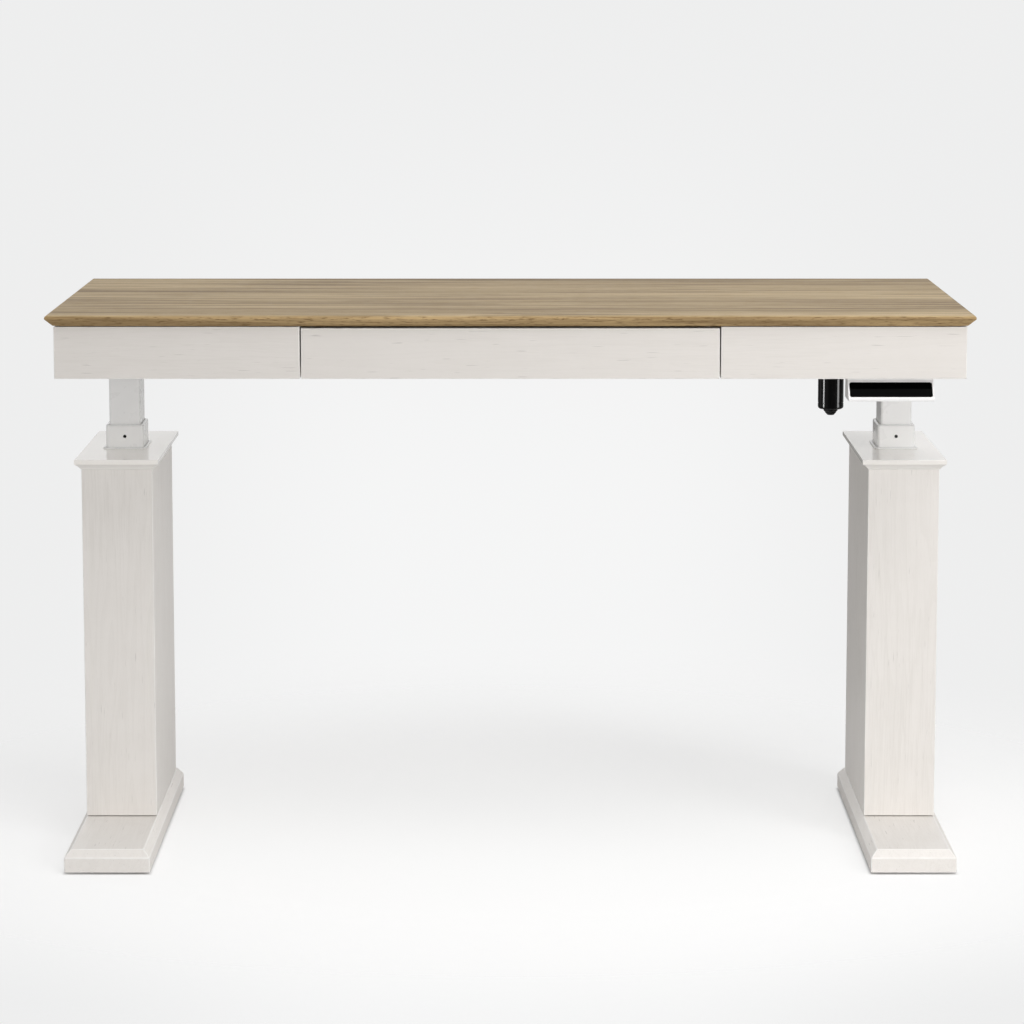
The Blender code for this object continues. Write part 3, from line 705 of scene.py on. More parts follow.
OAK_TOP = OakLaminate("oak_laminate_long", "oak_laminate", (0.585, 0.450, 0.262), 0.48)
OAK_END = OakLaminate("oak_laminate_end", "oak_laminate", (0.560, 0.432, 0.250), 0.48, axis=GrainAxis.ALONG_Y)
BACKING = EvenCoat("white_backing", "drawer_board", (0.80, 0.79, 0.76), 0.5, shade=0.96, mottle_size=0.09)
PAINT = (0.845, 0.812, 0.775)
PAINT_Y = PaintedWood("whitewashed_wood_deep", "whitewashed_wood", PAINT, 0.42, axis=GrainAxis.ALONG_Y)
PAINT_Z = PaintedWood("whitewashed_wood_upright", "whitewashed_wood", PAINT, 0.42, axis=GrainAxis.ALONG_Z)
# Painted shade: the aprons and the drawer front use a darker copy of the board paint that stands in for the shade they
# get.
SHADED_APRON_PAINT = (0.700, 0.668, 0.634)
SHADED_APRON_GRAIN = (0.60, 0.57, 0.53)
SHADED_APRON_X = PaintedWood("whitewashed_apron_long", "whitewashed_wood", SHADED_APRON_PAINT, 0.42, grain=SHADED_APRON_GRAIN)
SHADED_APRON_Y = PaintedWood(
    "whitewashed_apron_deep", "whitewashed_wood", SHADED_APRON_PAINT, 0.42, axis=GrainAxis.ALONG_Y, grain=SHADED_APRON_GRAIN,
)
# Painted light: the caps' paint is glossier and smoother than the boards' paint. It is also a little lighter, standing
# in for light that the cap tops, in the desk top's shade, don't get.
LIT_CAP_PAINT = PaintedWood(
    "whitewashed_cap", "whitewashed_wood", (0.87, 0.845, 0.81), 0.13, axis=GrainAxis.ALONG_Y, strength=0.30,
    relief=0.0,
)
DRAWER_BOARD = PaintedWood(
    "drawer_board", "drawer_board", (0.74, 0.72, 0.68), 0.55, axis=GrainAxis.ALONG_Y,
    grain=(0.66, 0.63, 0.59), edge=(0.80, 0.78, 0.74), strength=0.6,
)
COLUMN_COAT = EvenCoat(
    "column_powder_coat", "white_metal", (0.88, 0.875, 0.865), 0.28, shade=0.992, texture_depth=0.0,
    roughness_swing=0.01, edge_amount=0.0,
)
COLUMN_PLASTIC = EvenCoat(
    "column_plastic", "white_plastic", (0.86, 0.86, 0.85), 0.22, shade=0.98, texture_size=0.0006,
    texture_depth=0.000008, roughness_swing=0.03, edge_tint=(0.94, 0.94, 0.94), edge_amount=0.6,
)
HANDSET_PLASTIC = EvenCoat(
    "handset_plastic", "white_plastic", (0.88, 0.87, 0.865), 0.30, shade=0.98, texture_size=0.0005,
    texture_depth=0.00002, edge_tint=(0.93, 0.93, 0.93),
)
MOTOR_PAINT = GlossBlack(
    "motor_gloss_paint", "black_gloss_metal", (0.001, 0.001, 0.001), 0.10, dust_amount=0.03, specular=0.13
)
MOTOR_PLASTIC = GlossBlack(
    "motor_gloss_plastic", "black_gloss_plastic", (0.0015, 0.0015, 0.0015), 0.14, dust_amount=0.05, specular=0.18,
)
TOUCH_PANEL = GlossBlack(
    "touch_panel", "black_gloss_panel", (0.0005, 0.0005, 0.0005), 0.06, dust_amount=0.01, specular=0.015
)
BLACK_COAT = EvenCoat(
    "black_powder_coat", "black_metal", (0.028, 0.028, 0.029), 0.48, shade=0.8, texture_size=0.0008,
    texture_depth=0.00012, edge_tint=(0.10, 0.10, 0.10), edge_amount=0.4,
)
BLACKED_STEEL = EvenCoat(
    "blacked_steel", "black_metal", (0.006, 0.006, 0.006), 0.30, shade=0.8, texture_depth=0.00002,
    edge_tint=(0.30, 0.30, 0.30), edge_amount=0.5, specular=0.3,
)
BLACK_PLASTIC = EvenCoat(
    "black_plastic", "black_plastic", (0.030, 0.030, 0.031), 0.52, shade=0.85, texture_size=0.0007,
    texture_depth=0.00008, edge_tint=(0.09, 0.09, 0.09),
)
PAD_PLASTIC = EvenCoat(
    "pad_plastic", "pad_plastic", (0.055, 0.055, 0.056), 0.66, shade=0.8, texture_size=0.0009,
    texture_depth=0.0001, edge_tint=(0.16, 0.16, 0.16),
)
BARE_STEEL = BareMetal("bare_steel", "bare_steel", (0.56, 0.56, 0.57), 0.24)
ZINC_STEEL = BareMetal(
    "zinc_steel", "zinc_steel", (0.62, 0.63, 0.65), 0.30, axis=GrainAxis.ALONG_Y, dull=(0.46, 0.47, 0.50)
)
SCREW_ZINC = BareMetal("zinc_screws", "zinc_steel", (0.66, 0.66, 0.67), 0.26, dull=(0.42, 0.42, 0.43))
BRASS = BareMetal("turned_brass", "brass", (0.66, 0.51, 0.24), 0.26, dull=(0.48, 0.35, 0.15))


# ---------------------------------------------------------------- mesh making


def new_shape() -> bmesh.types.BMesh:
    """An empty shape with the layers that the finishes read.

    Returns:
        The shape.
    """
    shape = bmesh.new()
    shape.faces.layers.float.new(EDGE_LAYER)
    shape.faces.layers.float.new(BOARD_LAYER)
    return shape


def lofted(rings: Sequence[Ring], ends_closed: bool = True, soft: Iterable[int] = ()) -> bmesh.types.BMesh:
    """A solid through rings of the same number of points.

    Args:
        rings: The rings, in order.
        ends_closed: True to cap both ends, False to join the last ring to the first.
        soft: Which bands between rings count as rounded edges.

    Returns:
        The shape, with its faces pointing outwards.
    """
    shape = new_shape()
    edge = shape.faces.layers.float[EDGE_LAYER]
    loops = [[shape.verts.new(point) for point in ring] for ring in rings]
    bands = list(zip(loops, loops[1:]))
    if not ends_closed:
        bands.append((loops[-1], loops[0]))
    for number, (first, second) in enumerate(bands):
        for i in range(len(first)):
            j = (i + 1) % len(first)
            face = shape.faces.new((first[i], first[j], second[j], second[i]))
            face[edge] = 1.0 if number in soft else 0.0
    if ends_closed:
        shape.faces.new(loops[0])
        shape.faces.new(loops[-1])
    bmesh.ops.recalc_face_normals(shape, faces=shape.faces)
    return shape


def rectangle(middle: Point, half_x: float, half_y: float, z: float) -> Ring:
    """The corners of a flat rectangle round a middle."""
    signs = ((-1, -1), (1, -1), (1, 1), (-1, 1))
    return [(middle[0] + across * half_x, middle[1] + along * half_y, z) for across, along in signs]


def rounded_rectangle(middle: Point, half_x: float, half_y: float, radius: float, z: float, steps: int = 7) -> Ring:
    """A flat rectangle with round corners.

    Args:
        middle: Its centre; only x and y are used.
        half_x: Half its width.
        half_y: Half its depth.
        radius: The corners' radius.
        z: Its height.
        steps: Number of sides of each corner.

    Returns:
        The ring of points, counter-clockwise.
    """
    points = []
    for turn, (sign_x, sign_y) in enumerate(((1, 1), (-1, 1), (-1, -1), (1, -1))):
        for step in range(steps + 1):
            angle = math.pi / 2 * (turn + step / steps)
            x = middle[0] + sign_x * (half_x - radius) + radius * math.cos(angle)
            y = middle[1] + sign_y * (half_y - radius) + radius * math.sin(angle)
            points.append((x, y, z))
    return points


def circle(middle: Point, radius: float, z: float, count: int = 64) -> Ring:
    """A flat ring of points round a middle."""
    angles = [2 * math.pi * i / count for i in range(count)]
    return [(middle[0] + radius * math.cos(a), middle[1] + radius * math.sin(a), z) for a in angles]


def arc(centre: tuple[float, float], radius: float, start: float, end: float, steps: int) -> Section:
    """Points of an arc in a section plane, with its angles in degrees.

    Args:
        centre: The arc's centre.
        radius: Its radius.
        start: Its first angle, in degrees.
        end: Its last angle, in degrees.
        steps: Number of its sides.

    Returns:
        The points, in order.
    """
    points = []
    for step in range(steps + 1):
        angle = math.radians(start + (end - start) * step / steps)
        points.append((centre[0] + radius * math.cos(angle), centre[1] + radius * math.sin(angle)))
    return points


def plan(low: Point, high: Point) -> tuple[tuple[float, float], float, float]:
    """The middle of a box seen from above, half its width and half its depth."""
    middle = ((low[0] + high[0]) / 2, (low[1] + high[1]) / 2)
    return middle, (high[0] - low[0]) / 2, (high[1] - low[1]) / 2


def turned(middle: Point, section: Section, sides: int) -> list[Ring]:
    """The rings of a turned piece, from its (radius, height) points."""
    return [circle(middle, radius, z, sides) for radius, z in section]


def facing_front(middle: Point, section: Section, sides: int) -> list[Ring]:
    """The rings of a turned piece that lies along Y, from its (radius, y) points."""
    x, z = middle
    return [[(x + px, y, z + pz) for px, pz, _ in circle((0, 0), radius, 0, sides)] for radius, y in section]
def merged_copy(node: str) -> bmesh.types.BMesh:
    """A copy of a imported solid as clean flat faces, with the finishes' layers.

    Args:
        node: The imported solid's name.

    Returns:
        The shape.
    """
    shape = new_shape()
    shape.from_mesh(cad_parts[node].data)
    bmesh.ops.remove_doubles(shape, verts=shape.verts, dist=MERGE_DISTANCE)
    bmesh.ops.dissolve_limit(
        shape, angle_limit=FLAT_ANGLE, use_dissolve_boundaries=False, verts=shape.verts, edges=shape.edges
    )
    return shape


def soften(shape: bmesh.types.BMesh, radius: float, segments: int = 3, sharpness: float = 28.0) -> bmesh.types.BMesh:
    """Rounds a shape's sharp outer edges and marks the rounding.

    Args:
        shape: The shape to change.
        radius: How far from the edge the rounding starts.
        segments: Number of faces across the rounding.
        sharpness: The least angle, in degrees, of an edge that gets rounded.

    Returns:
        The same shape.
    """
    limit = math.radians(sharpness)
    edges = [e for e in shape.edges if len(e.link_faces) == 2 and e.calc_face_angle(0.0) > limit]
    made = bmesh.ops.bevel(
        shape, geom=edges, offset=radius, offset_type="OFFSET", segments=segments, profile=0.5,
        affect="EDGES", clamp_overlap=True,
    )
    edge = shape.faces.layers.float[EDGE_LAYER]
    for face in made["faces"]:
        face[edge] = 1.0
    return shape


def place_piece(
    name: str,
    shape: bmesh.types.BMesh,
    finishes: Finish | Sequence[Finish],
    body: Body,
    nodes: Sequence[str] = (),
    crease: float = 35.0,
) -> bpy.types.Object:
    """Makes a shape into a finished piece of the desk.

    Args:
        name: The piece's name.
        shape: Its shape; it is freed.
        finishes: Its finish, or one for each of its faces' material numbers.
        body: The moving group that it rides on.
        nodes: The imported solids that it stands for.
        crease: The least angle, in degrees, of an edge that stays sharp.

    Returns:
        The piece's object.
    """
    finishes = [finishes] if isinstance(finishes, Finish) else list(finishes)
    board = shape.faces.layers.float[BOARD_LAYER]
    letters = sum(ord(letter) * (place + 1) for place, letter in enumerate(name))
    number = (letters % NAME_CYCLE) / NAME_STEP
    for face in shape.faces:
        face[board] = number
    mesh = bpy.data.meshes.new(name)
    shape.to_mesh(mesh)
    shape.free()
    for finish in finishes:
        mesh.materials.append(finish.material())
    mesh.shade_smooth()
    mesh.set_sharp_from_angle(angle=math.radians(crease))
    piece = bpy.data.objects.new(name, mesh)
    bpy.context.scene.collection.objects.link(piece)
    weigh_normals(piece)
    return attach(piece, body, nodes)


def weigh_normals(piece: bpy.types.Object) -> None:
    """Keeps large flat faces flat beside their rounded edges.

    Args:
        piece: The piece's object.
    """
    modifier = piece.modifiers.new("weighted_normals", "WEIGHTED_NORMAL")
    modifier.keep_sharp = True
    piece.data = evaluated_mesh(piece, preserve_all_data_layers=True)
    piece.modifiers.clear()


def evaluated_mesh(piece: bpy.types.Object, **settings: Any) -> bpy.types.Mesh:
    """A new mesh of a piece as its modifiers leave it."""
    graph = bpy.context.evaluated_depsgraph_get()
    return bpy.data.meshes.new_from_object(piece.evaluated_get(graph), depsgraph=graph, **settings)


def attach(piece: bpy.types.Object, body: Body, nodes: Sequence[str] = ()) -> bpy.types.Object:
    """Hands a piece to its moving group and the solids that it stands for.

    Args:
        piece: The piece's object.
        body: The moving group that it rides on.
        nodes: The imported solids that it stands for.

    Returns:
        The same piece.
    """
    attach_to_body(piece, body.value)
    if nodes:
        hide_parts(*nodes)
    log.info("%s on %s: %d faces", piece.name, body.value, len(piece.data.polygons))
    return piece


def keep_solid(node: str, finish: Finish) -> None:
    """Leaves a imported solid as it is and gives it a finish.

    Args:
        node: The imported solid's name.
        finish: The piece's finish.
    """
    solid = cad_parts[node]
    solid.data.materials.clear()
    solid.data.materials.append(finish.material())
    log.info("%s stays, in %s", node, finish.name)


def rounded_board(node: str, finish: Finish, body: Body, radius: float = 0.001, segments: int = 3) -> bpy.types.Object:
    """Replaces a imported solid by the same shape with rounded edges."""
    return place_piece(f"{node}_rounded", soften(merged_copy(node), radius, segments), finish, body, [node])


# ---------------------------------------------------------------- Geometry Nodes


class GrownTree(Wiring):
    """A Geometry Nodes tree with named inputs, that ends in realised instances and one material."""

    def __init__(self, name: str, inputs: dict[str, Any]) -> None:
        """Starts the tree.

        Args:
            name: The tree's name.
            inputs: Its named inputs with their defaults; a geometry and a material are always there.
        """
        sockets = {"Geometry": "NodeSocketGeometry", **inputs, "Finish": "NodeSocketMaterial"}
        tree, self.given, self.ending = new_group(
            name, "GeometryNodeTree", sockets, {"Geometry": "NodeSocketGeometry"}
        )
        super().__init__(tree)

    def value(self, name: str) -> Socket:
        """One of the tree's named inputs."""
        return self.given.outputs[name]

    def step(self, kind: str, settings: Optional[dict[str, Any]] = None, **values: Any) -> Socket:
        """Adds a node and feeds its inputs.

        Args:
            kind: The node's type name.
            settings: Properties of the node.
            values: Its inputs, by name with _ for a space.

        Returns:
            The node's first output.
        """
        made = self.node(kind, **(settings or {}))
        return self.fill(made, {name.replace("_", " "): value for name, value in values.items()}).outputs[0]

    def join(self, *parts: Socket) -> Socket:
        """Joins geometries into one.

        Args:
            parts: The geometries.

        Returns:
            The joined geometry.
        """
        both = self.node("GeometryNodeJoinGeometry")
        for part in parts:
            self.feed(both.inputs[0], part)
        return both.outputs[0]

    def on_points(self, points: Socket, instance: Socket, turn: Optional[Socket] = None) -> Socket:
        """Instances of a geometry on points, turned if a rotation is given."""
        return self.step("GeometryNodeInstanceOnPoints", Points=points, Instance=instance, Rotation=turn)

    def swept(self, line: Socket, radius: Any, settings: Optional[dict[str, Any]] = None, sides: int = 8) -> Socket:
        """A round bar along a line.

        Args:
            line: The line that it follows.
            radius: Its radius.
            settings: Properties of its section's node.
            sides: Number of its sides.

        Returns:
            The bar.
        """
        section = self.step("GeometryNodeCurvePrimitiveCircle", settings, Resolution=sides, Radius=radius)
        return self.step("GeometryNodeCurveToMesh", Curve=line, Profile_Curve=section, Fill_Caps=True)

    def row_on_points(self, offset: Socket, instance: Socket) -> Socket:
        """Rows of a geometry that start at each of the tree's points.

        Args:
            offset: The way from one of a row's places to the next.
            instance: The geometry that stands on each place.

        Returns:
            The instances.
        """
        row = self.step("GeometryNodeMeshLine", Count=self.value("Count"), Offset=offset)
        rows = self.on_points(self.value("Geometry"), row)
        return self.on_points(self.step("GeometryNodeRealizeInstances", Geometry=rows), instance)

    def close(self, geometry: Socket) -> None:
        """Ends the tree: realises instances and sets the material.

        Args:
            geometry: What the tree has made.
        """
        real = self.step("GeometryNodeRealizeInstances", Geometry=geometry)
        dressed = self.step("GeometryNodeSetMaterial", Geometry=real, Material=self.value("Finish"))
        self.feed(self.ending.inputs[0], dressed)

    def grow(
        self, name: str, seed: Places, values: dict[str, Any], finish: Finish, body: Body,
        nodes: Sequence[str] = (), crease: float = 35.0,
    ) -> bpy.types.Object:
        """Runs the tree and makes its result a plain piece.

        Args:
            name: The piece's name.
            seed: Points that the tree starts from, each with the direction that it faces.
            values: The tree's named inputs.
            finish: The piece's finish.
            body: The moving group that it rides on.
            nodes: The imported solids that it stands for.
            crease: The least angle, in degrees, of an edge that stays sharp.

        Returns:
            The piece's object.
        """
        mesh = bpy.data.meshes.new(f"{name}_points")
        mesh.from_pydata([tuple(point) for point, _ in seed], [], [])
        aims = mesh.attributes.new(AIM_LAYER, "FLOAT_VECTOR", "POINT")
        aims.data.foreach_set("vector", [part for _, aim in seed for part in aim])
        piece = bpy.data.objects.new(name, mesh)
        bpy.context.scene.collection.objects.link(piece)
        modifier = piece.modifiers.new("grown", "NODES")
        modifier.node_group = self.tree
        given = {**values, "Finish": finish.material()}
        for socket in self.tree.interface.items_tree:
            if socket.in_out == "INPUT" and socket.name in given:
                modifier[socket.identifier] = given[socket.name]
        grown = evaluated_mesh(piece)
        piece.modifiers.clear()
        piece.data = grown
        bpy.data.meshes.remove(mesh)
        grown.name = name
        grown.shade_smooth()
        grown.set_sharp_from_angle(angle=math.radians(crease))
        return attach(piece, body, nodes)


def screw_tree() -> GrownTree:
    """Screw heads on points: a stepped round head with a socket sunk into it, facing each point's aim.

    Returns:
        The tree.
    """
    tree = GrownTree("screw_heads", {"Head Radius": 0.004, "Head Height": 0.0022, "Socket Share": 0.55, "Sides": 18})
    height = tree.value("Head Height")
    disc = tree.step(
        "GeometryNodeMeshCircle", {"fill_type": "NGON"}, Vertices=tree.value("Sides"), Radius=tree.value("Head Radius")
    )
    shape, top = disc, None
    stages = (
        (tree.math("MULTIPLY", height, 0.55), 1.0),
        (tree.math("MULTIPLY", height, 0.30), 0.90),
        (tree.math("MULTIPLY", height, 0.15), 0.82),
        (0.00001, tree.value("Socket Share")),
        (tree.math("MULTIPLY", height, -0.6), 0.94),
    )
    for rise, share in stages:
        raised = tree.step(
            "GeometryNodeExtrudeMesh", {"mode": "FACES"}, Mesh=shape, Offset_Scale=rise, Selection=top
        )
        top = raised.node.outputs["Top"]
        shape = tree.step(
            "GeometryNodeScaleElements", {"domain": "FACE"}, Geometry=raised, Selection=top, Scale=share
        )
    both = tree.join(shape, tree.step("GeometryNodeFlipFaces", Mesh=disc))
    head = tree.step("GeometryNodeMergeByDistance", Geometry=both, Distance=MERGE_DISTANCE)
    aim = tree.step("GeometryNodeInputNamedAttribute", {"data_type": "FLOAT_VECTOR"}, Name=AIM_LAYER)
    turn = tree.step("FunctionNodeAlignRotationToVector", {"axis": "Z"}, Vector=aim)
    tree.close(tree.on_points(tree.value("Geometry"), head, turn))
    return tree


def spindle_tree() -> GrownTree:
    """A lifting screw standing on each point: a core with a rounded thread wound round it.

    Returns:
        The tree.
    """
    sizes = {"Radius": 0.008, "Thread Radius": 0.0016, "Length": 0.6, "Turns": 60.0, "Steps": 20}
    tree = GrownTree("lifting_screw", sizes)
    radius, thread, length = (tree.value(name) for name in ("Radius", "Thread Radius", "Length"))
    rope = tree.math("SUBTRACT", radius, thread)
    margin = tree.math("MULTIPLY", thread, 2.0)
    spiral = tree.step(
        "GeometryNodeCurveSpiral", Resolution=tree.value("Steps"), Rotations=tree.value("Turns"),
        Start_Radius=rope, End_Radius=rope,
        Height=tree.math("SUBTRACT", length, tree.math("MULTIPLY", margin, 2.0)),
    )
    wound = tree.swept(spiral, thread, {"mode": "RADIUS"}, 6)
    core_radius = tree.math("MULTIPLY_ADD", thread, -0.72, radius)
    core = tree.step("GeometryNodeMeshCylinder", Vertices=24, Radius=core_radius, Depth=length)
    raised = [
        tree.step("GeometryNodeTransform", Geometry=part, Translation=tree.vector(0.0, 0.0, rise))
        for part, rise in ((wound, margin), (core, tree.math("MULTIPLY", length, 0.5)))
    ]
    tree.close(tree.on_points(tree.value("Geometry"), tree.join(*raised)))
    return tree


def ball_row_tree() -> GrownTree:
    """Rows of bearing balls that start at each point and run along Y.

    Returns:
        The tree.
    """
    tree = GrownTree("ball_rows", {"Ball Radius": 0.0011, "Spacing": 0.004, "Count": 8})
    ball = tree.step("GeometryNodeMeshIcoSphere", Radius=tree.value("Ball Radius"), Subdivisions=2)
    tree.close(tree.row_on_points(tree.vector(0.0, tree.value("Spacing"), 0.0), ball))
    return tree


def rib_row_tree() -> GrownTree:
    """Rows of round-backed ribs that start at each point, run along Y and repeat along X.

    Returns:
        The tree.
    """
    tree = GrownTree("rib_rows", {"Rib Length": 0.04, "Rib Radius": 0.0008, "Spacing": 0.006, "Count": 10})
    end = tree.vector(0.0, tree.value("Rib Length"), 0.0)
    line = tree.step("GeometryNodeCurvePrimitiveLine", Start=(0.0, 0.0, 0.0), End=end)
    rib = tree.swept(line, tree.value("Rib Radius"))
    tree.close(tree.row_on_points(tree.vector(tree.value("Spacing"), 0.0, 0.0), rib))
    return tree


# ---------------------------------------------------------------- tabletop and aprons


@dataclass
class Tabletop:
    """The moulded oak board."""

    bevel: float = 0.012
    nose_height: float = 0.0125
    crown_radius: float = 0.0044
    rebate_height: float = 0.0014
    rebate_depth: float = 0.0080
    end_faces: int = 1
    under_faces: int = 2
    end_tilt: float = 0.2
    under_tilt: float = 0.95

    def section(self, low: float, high: float) -> Section:
        """The edge from the underside to the top face, as (inset, height) points.

        Args:
            low: The least height.
            high: The greatest height.

        Returns:
            The points.
        """
        nose = low + self.nose_height
        points = [
            (self.bevel + self.rebate_depth, low),
            (self.bevel + self.rebate_depth, low + self.rebate_height),
            (self.bevel - 0.0002, low + self.rebate_height),
            (self.bevel - 0.0012, low + self.rebate_height + 0.0005),
        ]
        points += [(0.0010, nose - 0.0012), (0.0003, nose - 0.0004), (0.0, nose + 0.0003)]
        centre = (self.crown_radius, high - self.crown_radius)
        points += arc(centre, self.crown_radius, 172.0, 90.0, 7)
        return points

    def build(self) -> None:
        """Makes the board, with its end edges in the finish whose grain runs along Y."""
        low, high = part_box("tabletop")
        _, half_x, half_y = plan(low, high)
        sections = self.section(low.z, high.z)
        shape = lofted([rectangle((0, 0), half_x - inset, half_y - inset, z) for inset, z in sections])
        for face in shape.faces:
            if abs(face.normal.x) > self.end_tilt:
                face.material_index = self.end_faces
            elif face.normal.z < -self.under_tilt:
                face.material_index = self.under_faces
        place_piece("tabletop_board", shape, [OAK_TOP, OAK_END, BACKING], Body.TOP, ["tabletop"], crease=24.0)


@dataclass
class ApronFrame:
    """The frame of painted boards under the top."""

    edge_radius: float = 0.0011

    def build(self) -> None:
        """Rounds the edges of each apron."""
        # The aprons use the darker copy of the paint, which is painted shade.
        for side in Side:
            rounded_board(f"{side.label}_front_apron", SHADED_APRON_X, Body.TOP, self.edge_radius)
            rounded_board(f"{side.label}_end_apron", SHADED_APRON_Y, Body.TOP, self.edge_radius)
        rounded_board("back_apron", SHADED_APRON_X, Body.TOP, self.edge_radius)


@dataclass
class DrawerUnit:
    """The drawer, its runners and the boards that carry them."""

    front_radius: float = 0.0011
    board_radius: float = 0.0007
    runner_radius: float = 0.00035
    ball_radius: float = 0.0011
    ball_spacing: float = 0.0042
    ball_start: float = 0.004
    ball_count: int = 8
    runner_wall: float = 0.0012
    screw_radius: float = 0.0030
    screw_height: float = 0.0014
    screw_rise: float = 0.004
    moving_shares: tuple[float, ...] = (0.12, 0.5, 0.88)
    fixed_shares: tuple[float, ...] = (0.2, 0.8)

    def build(self, screws: GrownTree, balls: GrownTree) -> None:
        """Makes the drawer, the runner boards and the runners' balls and screws.

        Args:
            screws: The tree that makes screw heads.
            balls: The tree that makes rows of balls.
        """
        rounded_board("drawer_front", SHADED_APRON_X, Body.DRAWER, self.front_radius)
        for name in ("left_side", "right_side", "back", "bottom"):
            rounded_board(f"drawer_{name}", DRAWER_BOARD, Body.DRAWER, self.board_radius, 2)
        starts, fixed_screws, moving_screws = [], [], []
        for side in Side:
            rounded_board(f"{side.label}_runner_board", DRAWER_BOARD, Body.TOP, self.board_radius, 2)
            rounded_board(f"{side.label}_cabinet_runner", ZINC_STEEL, Body.TOP, self.runner_radius, 2)
            rounded_board(f"drawer_{side.label}_runner", ZINC_STEEL, Body.DRAWER, self.runner_radius, 2)
            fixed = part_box(f"{side.label}_cabinet_runner")
            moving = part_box(f"drawer_{side.label}_runner")
            across = (max(fixed[0].x, moving[0].x) + min(fixed[1].x, moving[1].x)) / 2
            for edge, wall in ((0, self.runner_wall), (1, -self.runner_wall)):
                height = (fixed[edge].z + wall + moving[edge].z) / 2
                starts.append(((across, fixed[0].y + self.ball_start, height), UP))
            right = side is Side.RIGHT
            web = moving[0].x + self.runner_wall if right else moving[1].x - self.runner_wall
            far = fixed[1].x - self.runner_wall if right else fixed[0].x + self.runner_wall
            middle = (moving[0].z + moving[1].z) / 2
            for share in self.moving_shares:
                y = moving[0].y + share * (moving[1].y - moving[0].y)
                moving_screws.append(((web, y, middle), (side.value, 0.0, 0.0)))
            for share in self.fixed_shares:
                y = fixed[0].y + share * (fixed[1].y - fixed[0].y)
                fixed_screws.append(((far, y, middle + self.screw_rise), (-side.value, 0.0, 0.0)))
        sizes = {"Ball Radius": self.ball_radius, "Spacing": self.ball_spacing, "Count": self.ball_count}
        balls.grow("runner_balls", starts, sizes, BARE_STEEL, Body.TOP, crease=180.0)
        sizes = {"Head Radius": self.screw_radius, "Head Height": self.screw_height}
        screws.grow("drawer_runner_screws", moving_screws, sizes, SCREW_ZINC, Body.DRAWER)
        screws.grow("cabinet_runner_screws", fixed_screws, sizes, SCREW_ZINC, Body.TOP)


# ---------------------------------------------------------------- pedestals and columns


@dataclass
class Pedestal:
    """A boxed pedestal with its foot, pads and moulded cap."""

    side: Side
    board_radius: float = 0.0011
    foot_radius: float = 0.0014
    foot_joint: float = 0.0012
    cap_round: float = 0.0009
    cap_reach: float = 0.0102
    cove_height: float = 0.0090
    cove_sag: float = 0.0009
    cove_steps: int = 8
    hole_gap: float = 0.0003
    hole_round: float = 0.0005
    pad_sides: int = 40

    def build(self) -> None:
        """Makes every piece of the pedestal."""
        for end in ("front", "back", "inner", "outer"):
            self.build_board(end)
        rounded_board(f"{self.side.label}_foot", PAINT_Y, Body.BASE, self.foot_radius, 4)
        self.build_cap()
        for end in ("front", "rear"):
            self.build_pad(end)

    def build_board(self, end: str) -> None:
        """Makes one board, which ends just above the foot so that a thin dark joint shows.

        Args:
            end: Which of the four boards it is.
        """
        node = f"{self.side.label}_{end}_board"
        shape = merged_copy(node)
        low = min(corner.co.z for corner in shape.verts)
        for corner in shape.verts:
            if corner.co.z < low + MERGE_DISTANCE:
                corner.co.z += self.foot_joint
        place_piece(f"{node}_rounded", soften(shape, self.board_radius), PAINT_Z, Body.BASE, [node])

    def cap_section(self, low: float, high: float) -> Section:
        """The cap's edge from its underside up to its top face, as (inset, height) points.

        Args:
            low: The least height.
            high: The greatest height.

        Returns:
            The points.
        """
        foot, brow = self.cap_reach, low + self.cove_height
        points = [(foot, low), (foot - 0.0011, low), (foot - 0.0012, low + 0.0008)]
        start, end = (foot - 0.0016, low + 0.0011), (0.0010, brow - 0.0010)
        for step in range(self.cove_steps + 1):
            share = step / self.cove_steps
            sag = self.cove_sag * 4 * share * (1 - share)
            points.append((start[0] + (end[0] - start[0]) * share + sag, start[1] + (end[1] - start[1]) * share))
        points += [(0.0007, brow - 0.0003), (0.0, brow)]
        points += arc((self.cap_round, high - self.cap_round), self.cap_round, 180.0, 90.0, 5)
        return points

    def build_cap(self) -> None:
        """Makes the cap: a cove under a square band, with an opening for the column."""
        node = f"{self.side.label}_cap"
        low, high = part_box(node)
        middle, half_x, half_y = plan(low, high)
        _, tube_x, tube_y = plan(*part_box(f"{self.side.label}_outer_tube"))
        hole_x, hole_y = tube_x + self.hole_gap, tube_y + self.hole_gap
        section = self.cap_section(low.z, high.z)
        rings = [rectangle(middle, half_x - inset, half_y - inset, z) for inset, z in section]
        for wider, z in ((self.hole_round, high.z), (0.0, high.z - self.hole_round), (0.0, low.z)):
            rings.append(rectangle(middle, hole_x + wider, hole_y + wider, z))
        count = len(section)
        shape = lofted(rings, ends_closed=False, soft=range(count - 6, count - 1))
        # The cap uses the lighter copy of the paint, which is painted light.
        place_piece(f"{self.side.label}_moulded_cap", shape, LIT_CAP_PAINT, Body.BASE, [node], crease=22.0)

    def build_pad(self, end: str) -> None:
        """Makes one round pad with a ridged rim.

        Args:
            end: Which end of the foot it is at.
        """
        node = f"{self.side.label}_{end}_pad"
        low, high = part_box(node)
        middle, radius, _ = plan(low, high)
        section = [
            (radius - 0.0016, low.z),
            (radius - 0.0006, low.z + 0.0003),
            (radius - 0.0001, low.z + 0.0009),
            (radius, low.z + 0.0014),
            (radius - 0.0007, low.z + 0.0017),
            (radius - 0.0007, high.z),
        ]
        shape = lofted(turned(middle, section, self.pad_sides), soft=range(0, 3))
        place_piece(f"{node}_turned", shape, PAD_PLASTIC, Body.BASE, [node])


